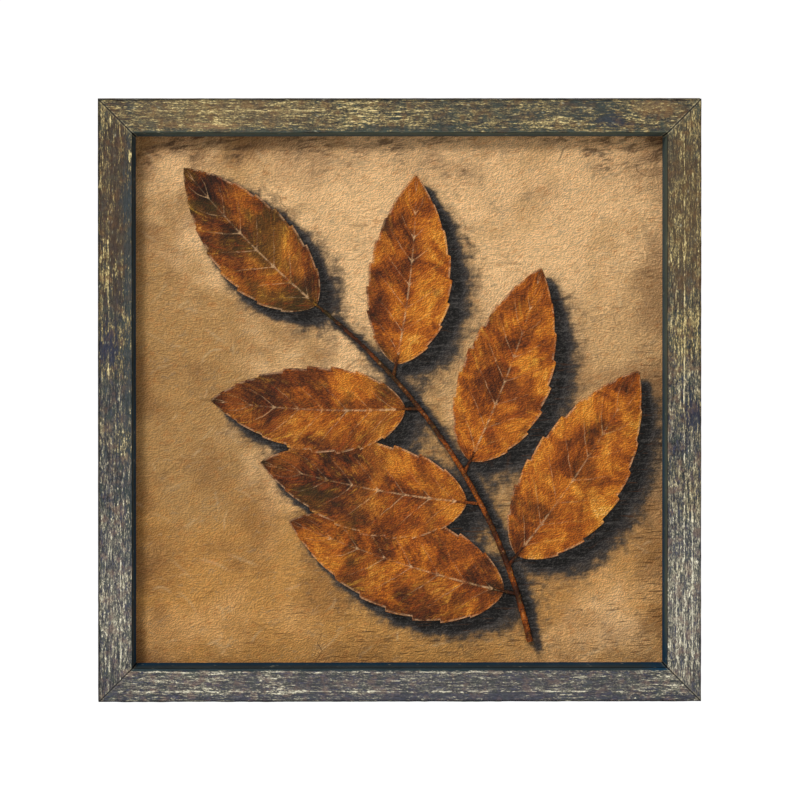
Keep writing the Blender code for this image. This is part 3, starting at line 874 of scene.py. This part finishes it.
def leafPlace(leaf, share, across):
    start, direction, length, side = leaf
    aside = -side * sprig["bow"] * length * share**2 + across * leafHalfWidth(share, length)
    along = sprig["stalk"] + length * share
    x = start[0] + direction[0] * along - direction[1] * aside
    z = start[1] + direction[1] * along + direction[0] * aside
    return x, z


def leafShares(leaf, x, z):
    start, direction, length, side = leaf
    dx, dz = x - start[0], z - start[1]
    share = (dx * direction[0] + dz * direction[1] - sprig["stalk"]) / length
    aside = dz * direction[0] - dx * direction[1]
    across = (aside + side * sprig["bow"] * length * share**2) / leafHalfWidth(share, length)
    return share, across


# Counts up by one from side vein to side vein, and is a whole number on each.
def veinPhase(share, across):
    return (share + sprig["veinSweep"] * (1 - np.abs(across))) * sprig["teeth"]


def leafHeight(leaf, share, across):
    length = leaf[2]
    width = np.abs(across) * leafHalfWidth(share, length)
    dome = np.sin(pi * np.clip(np.abs(across), 0, 1)) ** 0.8 * np.sin(pi * np.clip(share, 0, 1)) ** 0.6
    rib = np.exp(-((width / sprig["ribWidth"]) ** 2)) * (1 - 0.6 * share)
    phase = veinPhase(share, across)
    fromVein = (phase - np.round(phase)) * 0.75 * length / sprig["teeth"]
    veins = np.exp(-((fromVein / sprig["veinWidth"]) ** 2)) * (1 - np.abs(across) ** 3)
    fromEdge = (1 - np.abs(across)) * leafHalfWidth(share, length)
    rim = np.exp(-((fromEdge / sprig["rimWidth"] - 1) ** 2))
    height = sprig["edge"] + sprig["crown"] * dome + sprig["rib"] * rib + sprig["vein"] * veins
    return height + sprig["rim"] * rim, np.clip(rib + 0.8 * veins, 0, 1), rim


leaves = leafList()


# Heights that a later leaf lies on, and the painted shadow beside the leaves.
def layLeaves():
    x, z = fieldPlaces()
    ground = np.zeros_like(x)
    beds, covered = [], np.zeros_like(x)
    for leaf in leaves:
        share, across = leafShares(leaf, x, z)
        inside = (share > 0) & (share < 1) & (np.abs(across) < 1)
        beds.append(blurred(ground, sprig["bedBlur"]))
        own, _, _ = leafHeight(leaf, share, across)
        ground = np.where(inside, beds[-1] + own, ground)
        covered = np.maximum(covered, inside)
    for t in np.linspace(0, 1, sprig["coverSteps"]):
        spot = stemPoint(t)
        covered = np.maximum(covered, np.hypot(x - spot[0], z - spot[1]) < sprig["stemCover"])
    return beds, covered


def castShade(covered, right, down, soft):
    rows, columns = int(down / fieldPitch), int(right / fieldPitch)
    shifted = np.zeros_like(covered)
    shifted[:-rows, columns:] = covered[rows:, :-columns]
    return blurred(shifted, soft / fieldPitch)


leafBeds, leafCover = layLeaves()
shade = sum(castShade(leafCover, *fall, soft) * strength for *fall, soft, strength in sprig["shades"])
shade = np.clip(shade, 0, 1)
print("sprig laid out,", len(leaves), "leaves")


# Canvas: one sheet, painted thickly, with brush ridges, knife scratches and cracks.
canvasLook = {
    "cells": 306,
    "ground": 0.00010,  # thickness of the paint under its relief
    "strokeDepth": 0.00009,
    "lumpDepth": 0.00010,
    "ridges": 150,
    "ridgeDepth": 0.00022,
    "cuts": 40,
    "cutDepth": 0.00020,
    "flatEdge": 0.004,
    "seed": 11,
    # Length, width and slant in degrees of slanted strokes, level ones, lumps, and where they take turns
    "relief": [(0.0042, 0.0011, 28), (0.0036, 0.0010, -6), (0.0065, 0.0050, 0), (0.03, 0.03, 0)],
}


def scoreLine(field, start, direction, length, halfWidth, bend):
    steps = max(int(length / fieldPitch), 2)
    reach = int(halfWidth * 4 / fieldPitch) + 2
    offsets = np.arange(-reach, reach + 1)
    for i in range(steps):
        t = i / steps
        turn = direction + bend * (t - 0.5)
        start = start + np.array((cos(turn), sin(turn))) * fieldPitch
        column, row = (start + canvasHalf) / fieldPitch
        if not (reach < column < fieldSize - reach - 1 and reach < row < fieldSize - reach - 1):
            continue
        c, r = int(column), int(row)
        dx = (c + offsets - column) * fieldPitch
        dz = (r + offsets - row) * fieldPitch
        spot = np.exp(-(dx[None, :] ** 2 + dz[:, None] ** 2) / (2 * halfWidth**2))
        area = field[r - reach : r + reach + 1, c - reach : c + reach + 1]
        np.maximum(area, spot * min(1.0, 4 * t, 4 * (1 - t)), out=area)


def canvasFields(look):
    random = np.random.default_rng(look["seed"])
    shape = (fieldSize, fieldSize)
    strokes, level, lumps, turns = (
        roughField(shape, fieldPitch, 21 + number, long, wide, radians(slant))
        for number, (long, wide, slant) in enumerate(look["relief"])
    )
    where = smoothStep(turns, -0.6, 0.8)
    relief = look["strokeDepth"] * (strokes * where + level * (1 - where)) + look["lumpDepth"] * lumps
    ridges, cuts = np.zeros(shape), np.zeros(shape)
    for _ in range(look["ridges"]):
        start = random.uniform(-sightHalf, sightHalf, 2)
        turn = random.choice((radians(34), radians(4), radians(84), radians(140))) + random.normal(0, 0.3)
        scoreLine(ridges, start, turn, random.uniform(0.004, 0.022), random.uniform(0.00020, 0.00038),
                  random.normal(0, 0.7))
    for _ in range(look["cuts"]):
        start = random.uniform(-sightHalf, sightHalf, 2) * 0.95
        turn = random.normal(0, 0.12) if random.random() < 0.7 else random.uniform(0, pi)
        scoreLine(cuts, start, turn, random.uniform(0.004, 0.020), random.uniform(0.00022, 0.0004),
                  random.normal(0, 0.3))
    return relief + look["ridgeDepth"] * ridges - look["cutDepth"] * cuts, ridges, cuts


def buildCanvas(look, material):
    mesh, flat, isBack = closedGrid("paintedCanvas", look["cells"], look["cells"])
    x, z = flat[:, 0] * canvasHalf, flat[:, 1] * canvasHalf
    relief, ridges, cuts = canvasFields(look)
    inside = smoothStep(sightHalf + 0.001 - np.maximum(np.abs(x), np.abs(z)), 0, look["flatEdge"])
    raised = inside * (readPicture(relief, x, z) + look["ground"])
    y = np.where(isBack, canvasBack, canvasFront - raised)
    movePlaces(mesh, np.stack([x, y, z + middleZ], 1))
    turnFacesOut(mesh)
    writeAttributes(mesh, shade=readPicture(shade, x, z), ridge=readPicture(ridges, x, z),
                    cut=readPicture(cuts, x, z))
    canvas = addPiece("paintedCanvas", mesh, material, 60)
    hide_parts("canvas_sheet")
    print("canvas built,", len(mesh.polygons), "faces")


canvasPaint = {
    "tan": (184, 140, 83),
    "pale": (242, 196, 139),
    "ochre": (210, 148, 68),
    "brown": (112, 68, 34),
    "deepBrown": (56, 36, 24),
    "greyed": (142, 126, 104),
    "orange": (188, 118, 56),
    # Painted shadow beside the leaves, from its pale edge to its darkest
    "paintedLeafShadow": [(0.0, (150, 118, 80)), (0.22, (114, 90, 62)), (0.42, (80, 66, 52)), (0.60, (56, 50, 46)),
              (0.78, (36, 33, 32)), (1.0, (15, 12, 9))],
    # Threads showing through the painted shadow, and painted highlight on its wrinkle crests
    "threadAndCrestHighlight": (104, 98, 92),
    "threadPitch": 0.0014,
    "grooves": (78, 48, 26),
    # Painted highlight on the raised knife ridges
    "ridges": (240, 212, 164),
}


def canvasMaterial(look):
    material, tree, shader = newMaterial("canvasPaint")
    place = objectPlace(tree)
    across, up = acrossAndUp(place)
    # Wrinkled brushwork, the threads of the canvas under it, short dark nicks and long fine cracks
    height, turned = wrinklesAt(place)
    weave = 2 * pi / look["threadPitch"]
    threads = maths("SINE", across * weave) * maths("SINE", up * weave)
    nicks = noiseAt(place, (85.0, 20.0, 950.0), 1.0, 0.5, 0.1, turn=0.04)
    nicks = remap(nicks, 0.64, 0.69) * patchesAt(place, 17.0, 0.38, 0.54, 11.0, 2.0)
    nicks = nicks * remap(across - up, -0.02, 0.16, 0.25, 1.0)
    bends = noiseAt(place, (12.0, 10.0, 26.0), 3.0, 0.45, 0.2, turn=0.1)
    cracks = remap(abs(bends - 0.47), 0.0, 0.0034, 1.0, 0.0)
    cracks = cracks * patchesAt(place, 28.0, 0.48, 0.60, 17.0, 3.0)
    fine = height + threads * 0.05 - maths("MAXIMUM", nicks, cracks) * 0.6
    # Ground colours
    paler = patchesAt(place, 9.0, 0.42, 0.62, 0.0) + remap(up, -0.12, 0.12, -0.15, 0.25)
    paler = maths("ADD", paler, remap(across, -0.12, 0.14, -0.15, 0.35), clamp=True)
    low = up * -1.0 + remap(patchesAt(place, 14.0, 0.3, 0.7, 5.0), 0, 1, -0.07, 0.07)
    # Little flecks of orange and grey between the brush marks
    flecks = noiseAt(place, (210.0, 60.0, 420.0), 3.0, 0.65, 0.8, turn=0.3, shift=(1, 0, 8))
    # Darker towards the sight edge, most of all along the top and in its corners: painted shade under the
    # frame's lip, with dark brush marks along the top
    ragged = remap(patchesAt(place, 26.0, 0.25, 0.75, 2.0, 6.0), 0.0, 1.0, -0.020, 0.020)
    topEdge = remap(up + ragged, sightHalf - 0.044, sightHalf + 0.006)
    sideEdge = remap(abs(across) + ragged, sightHalf - 0.018, sightHalf + 0.014)
    foot = remap(ragged - up, sightHalf - 0.016, sightHalf + 0.016)
    corner = remap(across, 0.02, -0.15, 0.40, 1.0) * topEdge
    level = noiseAt(place, (110.0, 30.0, 460.0), 4.0, 0.65, 0.6, turn=0.2, shift=(4, 0, 5))
    brushed = remap(level, 0.44, 0.60) * patchesAt(place, 34.0, 0.38, 0.58, 4.0, 5.0)
    colour = coated(
        mixColour(paler, look["tan"], look["pale"]),
        look,
        (remap(low, 0.02, 0.17) * 0.55, "ochre"),
        (patchesAt(place, 24.0, 0.52, 0.70, 8.0, 6.0) * 0.40, "brown"),
        (remap(flecks, 0.52, 0.68) * 0.42, "orange"),
        (remap(flecks, 0.44, 0.32) * 0.34, "greyed"),
        # Painted shade near the frame's lip, then dark brush marks along the top
        (corner * 0.72, "brown"),
        (sideEdge * 0.45, "brown"),
        (foot * 0.35, "brown"),
        (remap(topEdge, 0.1, 0.8) * brushed * 0.75, "deepBrown"),
    )
    # Painted shadow of the leaves, soft and charcoal, dragged level over the threads
    drag = noiseAt(place, (60.0, 10.0, 560.0), 2.0, 0.5, 0.3, turn=0.05)
    dust = noiseAt(place, 130.0, 4.0, 0.65, 0.4)
    paintedLeafShadow = attribute(tree, "shade") + remap(dust, 0.25, 0.75, -0.17, 0.17)
    paintedLeafShadow = paintedLeafShadow + remap(drag, 0.3, 0.7, 0.05, -0.05)
    colour = mixColour(remap(paintedLeafShadow, 0.05, 0.50), colour, colourRamp(paintedLeafShadow, look["paintedLeafShadow"]))
    dragged = remap(drag, 0.52, 0.66) * remap(paintedLeafShadow, 0.35, 0.60) * remap(paintedLeafShadow, 1.1, 0.8, 0.08, 0.26)
    # Painted highlight on the wrinkle crests inside the painted shadow
    crestHighlight = remap(height, 0.62, 0.90) * remap(paintedLeafShadow, 0.2, 0.5, 0.0, 0.20)
    colour = coated(colour, look, (dragged, "threadAndCrestHighlight"), (crestHighlight, "threadAndCrestHighlight"))
    # Tone of the brushwork itself: painted light on its crests and where it turns up to the top left,
    # painted shade between. Painted highlight on the raised knife ridges outside the painted shadow, and
    # dark cuts, nicks and cracks
    tone = remap(height, 0.20, 0.90, 0.90, 1.08) * remap(turned, -0.24, 0.24, 0.72, 1.26)
    pale = attribute(tree, "ridge") * remap(paintedLeafShadow, 0.45, 0.1) * 0.34
    scored = maths("MAXIMUM", attribute(tree, "cut") * 0.6, nicks * 0.7)
    scored = maths("MAXIMUM", scored, cracks * 0.6)
    colour = coated(toned(colour, tone), look, (pale, "ridges"), (scored, "grooves"))
    join(colour, shader, "Base Color")
    join(remap(height, 0.3, 0.8, 0.82, 0.60), shader, "Roughness")
    shader.inputs["Specular IOR Level"].default_value = 0.3
    join(bumped(fine, 0.00060, 0.9), shader, "Normal")
    return material


buildCanvas(canvasLook, canvasMaterial(canvasPaint))


# Leaves of thick paint: a fine grid each, closed at the back, lying on what is painted under it.
leafPaint = {
    "lit": [(0.0, (62, 28, 6)), (0.25, (126, 60, 12)), (0.48, (178, 94, 20)), (0.70, (212, 130, 36)),
            (0.86, (232, 162, 64)), (1.0, (242, 200, 122))],
    "shaded": [(0.0, (20, 10, 4)), (0.25, (56, 26, 8)), (0.48, (100, 49, 13)), (0.70, (142, 76, 21)),
               (0.86, (176, 106, 34)), (1.0, (206, 150, 80))],
    "golden": (214, 158, 54),
    "russet": (150, 60, 16),
    "olive": (62, 50, 16),
    "dark": (30, 17, 9),
    "veins": (214, 170, 122),
    "rim": (216, 172, 128),
}


def buildLeaf(number, leaf, bed, look, material):
    mesh, flat, isBack = closedGrid(f"paintedLeaf{number}", look["rows"], look["columns"])
    share, across = (flat[:, 0] + 1) / 2, flat[:, 1]
    x, z = leafPlace(leaf, share, across)
    height, vein, edge = leafHeight(leaf, share, across)
    # Brush strokes run out from the rib beside the veins
    run = np.abs(across) * leafHalfWidth(share, leaf[2])
    pitch = look["strokePitch"]
    size = [int(length / pitch) for length in look["strokeField"]]
    strokes = roughField(size, pitch, 60 + number, 0.004, 0.0005)
    acrossVein = veinPhase(share, across) * leaf[2] / look["teeth"]
    brush = readField(strokes, acrossVein / pitch, run / pitch + 120 * (across > 0))
    fade = 1 - smoothStep(np.abs(across), 0.94, 1.0)
    height = height + look["stroke"] * brush * fade
    y = np.where(isBack, canvasFront + 0.0001, canvasFront - readPicture(bed, x, z) - height)
    movePlaces(mesh, np.stack([x, y, z + middleZ], 1))
    turnFacesOut(mesh)
    writeAttributes(
        mesh,
        strokePlace=np.stack([run, acrossVein, across * 0.02 + number], 1),
        vein=vein,
        rim=edge,
        middle=np.exp(-((run / 0.006) ** 2)),
        upperHalf=smoothStep(across * leaf[3], -0.15, 0.15),
    )
    piece = addPiece(f"paintedLeaf{number}", mesh, material, 55)


def leafMaterial(look):
    material, tree, shader = newMaterial("leafPaint")
    place = objectPlace(tree)
    across, _ = acrossAndUp(place)
    strokePlace = attribute(tree, "strokePlace", "Vector")
    seed = parted(strokePlace)[2]
    strokes = grainAt(strokePlace, 110.0, 330.0, 3.0, seed)
    fineStrokes = grainAt(strokePlace, 300.0, 900.0, 2.0, seed + 3.0)
    wrinkled, turned = wrinklesAt(place)
    cloud = noiseAt(place, 42.0, 6.0, 0.68, 0.6)
    tone = strokes * 0.20 + fineStrokes * 0.10 + remap(wrinkled, 0.15, 0.9, -0.02, 0.12)
    tone = tone + remap(cloud, 0.32, 0.68, -0.08, 0.52)
    # Painted light on one half of each leaf, painted shade along its midrib
    tone = tone + attribute(tree, "upperHalf") * 0.10 - attribute(tree, "middle") * 0.08
    light = across + remap(patchesAt(place, 18.0, 0.3, 0.7, 6.0), 0.0, 1.0, -0.07, 0.07)
    shaded, lit = colourRamp(tone, look["shaded"]), colourRamp(tone, look["lit"])
    olive = patchesAt(place, 30.0, 0.50, 0.66, 1.5, 5.0) * remap(across, 0.06, -0.10, 0.25, 0.75)
    flecks = noiseAt(strokePlace, (150.0, 280.0, 20.0), 4.0, 0.70, 0.8)
    golden = remap(flecks, 0.55, 0.68) * remap(tone, 0.2, 0.7, 0.10, 0.55)
    russet = remap(flecks, 0.45, 0.33) * remap(tone, 0.1, 0.5, 0.15, 0.50)
    broken = remap(noiseAt(place, 260.0, 4.0), 0.38, 0.60)
    vein = remap(attribute(tree, "vein"), 0.30, 0.90) * remap(broken, 0.0, 1.0, 0.12, 0.70)
    colour = coated(
        mixColour(remap(light, -0.09, 0.05), shaded, lit),
        look,
        (olive, "olive"),
        (patchesAt(place, 55.0, 0.58, 0.72, 9.0, 6.0) * 0.65, "dark"),
        (golden, "golden"),
        (russet, "russet"),
        (vein, "veins"),
        (attribute(tree, "rim") * broken * 0.60, "rim"),
    )
    # Painted light and shade on the wrinkles, lighter where they turn up to the top left
    join(toned(colour, remap(turned, -0.24, 0.24, 0.62, 1.36)), shader, "Base Color")
    join(remap(fineStrokes, 0.0, 1.0, 0.68, 0.50), shader, "Roughness")
    shader.inputs["Specular IOR Level"].default_value = 0.22
    height = strokes * 0.35 + fineStrokes * 0.20 + wrinkled * 0.8
    join(bumped(height, 0.00050, 0.9), shader, "Normal")
    return material


def buildStem(look, material):
    curve = bpy.data.curves.new("paintedStem", "CURVE")
    curve.dimensions = "3D"
    curve.bevel_depth = 1.0
    curve.bevel_resolution = 6
    curve.use_fill_caps = True

    def addLine(points, radii):
        spline = curve.splines.new("POLY")
        spline.points.add(len(points) - 1)
        for point, (x, z), radius in zip(spline.points, points, radii):
            point.co = (x, canvasFront - 0.0003 - 0.9 * radius, z + middleZ, 1)
            point.radius = radius

    shares = [i / look["stemSteps"] for i in range(look["stemSteps"] + 1)]
    taper = look["stemTipRadius"] - look["stemRadius"]
    addLine([stemPoint(t) for t in shares], [look["stemRadius"] + taper * t for t in shares])
    for leaf in leaves:
        start, foot = leaf[0], np.array(leafPlace(leaf, 0.05, 0.0))
        shares = [i / 12 for i in range(13)]
        addLine([start * (1 - t) + foot * t for t in shares],
                [look["stemTipRadius"] * (1 - 0.35 * t) for t in shares])
    guide = linked("stemGuide", curve)
    mesh = evaluatedMesh(guide)
    bpy.data.objects.remove(guide)
    mesh.name = "paintedStem"
    turnFacesOut(mesh, 1e-6)
    places, normals = meshPlaces(mesh), meshNormals(mesh)
    knots = readPicture(roughField((fieldSize, fieldSize), fieldPitch, 77, 0.0016, 0.0010),
                        places[:, 0], places[:, 2] - middleZ)
    movePlaces(mesh, places + normals * (look["stemKnots"] * knots)[:, None])
    count = len(mesh.vertices)
    run = places[:, 2] - middleZ
    # Painted highlight on the front of the stem, broken by its knots, carried in the vein attribute
    frontHighlight = smoothStep(-normals[:, 1], 0.2, 0.95)
    writeAttributes(
        mesh,
        strokePlace=np.stack([run, places[:, 0], np.full(count, 30.0)], 1),
        vein=0.55 * frontHighlight * smoothStep(knots, 0.0, 1.4),
        rim=np.zeros(count),
        middle=np.full(count, 3.5),
        upperHalf=np.zeros(count),
    )
    stem = addPiece("paintedStem", mesh, material, 60)
    return stem


leafFinish = leafMaterial(leafPaint)
stem = buildStem(sprig, leafFinish)
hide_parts("painted_sprig")
for number, (leaf, bed) in enumerate(zip(leaves, leafBeds), 1):
    buildLeaf(number, leaf, bed, sprig, leafFinish)
print("sprig painted")


# Finishes of the pieces that stay as they are in the frame.
def hardboardMaterial():
    material, tree, shader = newMaterial("brownHardboard")
    place = objectPlace(tree)
    fibres = noiseAt(place, (900.0, 900.0, 900.0), 5.0, 0.7, 0.8)
    colour = colourRamp(fibres, [(0.25, (84, 58, 36)), (0.5, (122, 88, 58)), (0.75, (158, 122, 84))])
    cloud = patchesAt(place, 12.0, 0.35, 0.65, 1.0, 5.0)
    join(mixColour(cloud * 0.35, colour, (96, 68, 44)), shader, "Base Color")
    # The rough back of hardboard keeps the print of the wire screen it was pressed on
    across, _, up = parted(place)
    wires = 2 * pi / 0.0016
    screen = maths("SINE", across * wires) * maths("SINE", up * wires)
    join(bumped(screen * 0.22 + fibres, 0.00035, 0.8), shader, "Normal")
    join(remap(fibres, 0.3, 0.7, 0.72, 0.90), shader, "Roughness")
    return material


def metalMaterial(name, bright, dull, tarnish, scale):
    material, tree, shader = newMaterial(name)
    worn, scratches = placeGroup(tarnishGroup, objectPlace(tree), scale, tarnish)
    join(mixColour(worn, bright, dull), shader, "Base Color")
    join(remap(worn, 0.0, 1.0, 0.28, 0.55), shader, "Roughness")
    shader.inputs["Metallic"].default_value = 1.0
    join(bumped(scratches, 0.00005, 0.5), shader, "Normal")
    return material


def rubberMaterial():
    material, tree, shader = newMaterial("blackRubber")
    place = objectPlace(tree)
    worn, _ = placeGroup(tarnishGroup, place, 900.0, 0.6)
    join(mixColour(worn, (34, 33, 33), (58, 56, 54)), shader, "Base Color")
    join(remap(worn, 0.0, 1.0, 0.62, 0.85), shader, "Roughness")
    join(bumped(noiseAt(place, 2600.0, 3.0), 0.00005, 0.6), shader, "Normal")
    return material


def finishNodes(material, *names):
    for name in names:
        slots = cadNodes[name].material_slots
        if slots:
            slots[0].material = material
        else:
            cadNodes[name].data.materials.append(material)


steel = metalMaterial("zincSteel", (186, 188, 190), (128, 130, 130), 0.5, 700.0)
brass = metalMaterial("dulledBrass", (232, 198, 122), (168, 134, 76), 0.5, 500.0)
finishNodes(hardboardMaterial(), "mount_board")
finishNodes(steel, *[name for name in cadNodes if name.startswith(("point_", "v_nail_"))])
finishNodes(brass, "hanger_plate", "hanger_nail_left", "hanger_nail_right")
finishNodes(rubberMaterial(), "bumper_left", "bumper_right")
print("fixings finished")


# Studio: a pale floor well below the hung picture, a white room, and soft lamps.
studio = {
    "floorDrop": 0.42,
    "floorHalf": 60.0,
    "room": 0.32,
    "distance": 10.0,
    "azimuth": -1.5,
    "elevation": 2.1,
    "seen": 0.46488,  # width of the view at the picture
    "aim": (0.00037, 0.0, -0.00016),  # from the picture's middle
    "lamps": [  # place from the middle, size, power
        ((-1.2, -2.4, 1.5), 0.6, 55),
        ((2.2, -2.4, 0.2), 1.6, 9),
        ((0.3, 2.4, 2.2), 1.6, 30),
    ],
}


def buildStudio(look):
    middle = Vector((0, (faceY + backY) / 2, middleZ)) + Vector(look["aim"])
    bm = bmesh.new()
    bmesh.ops.create_grid(bm, x_segments=8, y_segments=8, size=look["floorHalf"])
    bmesh.ops.translate(bm, verts=bm.verts, vec=(0, 0, middleZ - look["floorDrop"]))
    mesh = closeMesh(bm, bpy.data.meshes.new("floor"))
    material, tree, shader = newMaterial("paleFloor")
    pale = mixColour(noiseAt(objectPlace(tree), 3.0), (242, 242, 241), (248, 248, 247))
    join(pale, shader, "Base Color")
    shader.inputs["Roughness"].default_value = 0.9
    # Seen by the camera the floor is washed out to white, as in an overlit studio
    shader.inputs["Emission Color"].default_value = (1.0, 1.0, 1.0, 1.0)
    seen = outputOf(addNode("LightPath", {}, tree), "Is Camera Ray")
    join(seen * 0.75, shader, "Emission Strength")
    mesh.materials.append(material)
    floor = linked("floor", mesh)
    for number, (place, size, power) in enumerate(look["lamps"], 1):
        data = bpy.data.lights.new(f"lamp{number}", "AREA")
        data.shape = "DISK"
        data.size = size
        data.energy = power
        lamp = linked(f"lamp{number}", data)
        lamp.location = middle + Vector(place)
        lamp.rotation_euler = (middle - lamp.location).to_track_quat("-Z", "Y").to_euler()
    world = bpy.data.worlds.new("whiteRoom")
    world.use_nodes = True
    background = world.node_tree.nodes["Background"]
    background.inputs["Color"].default_value = (1.0, 1.0, 1.0, 1.0)
    background.inputs["Strength"].default_value = look["room"]
    bpy.context.scene.world = world
    bpy.context.scene.view_settings.view_transform = "Standard"
    data = bpy.data.cameras.new("camera")
    data.sensor_width = 36.0
    data.lens = data.sensor_width * look["distance"] / look["seen"]
    data.clip_end = 200.0
    camera = linked("camera", data)
    turn, tilt = radians(look["azimuth"]), radians(look["elevation"])
    back = Vector((sin(turn) * cos(tilt), -cos(turn) * cos(tilt), sin(tilt)))
    camera.location = middle + back * look["distance"]
    camera.rotation_euler = (-back).to_track_quat("-Z", "Y").to_euler()
    bpy.context.scene.camera = camera
    print("studio ready")


buildStudio(studio)
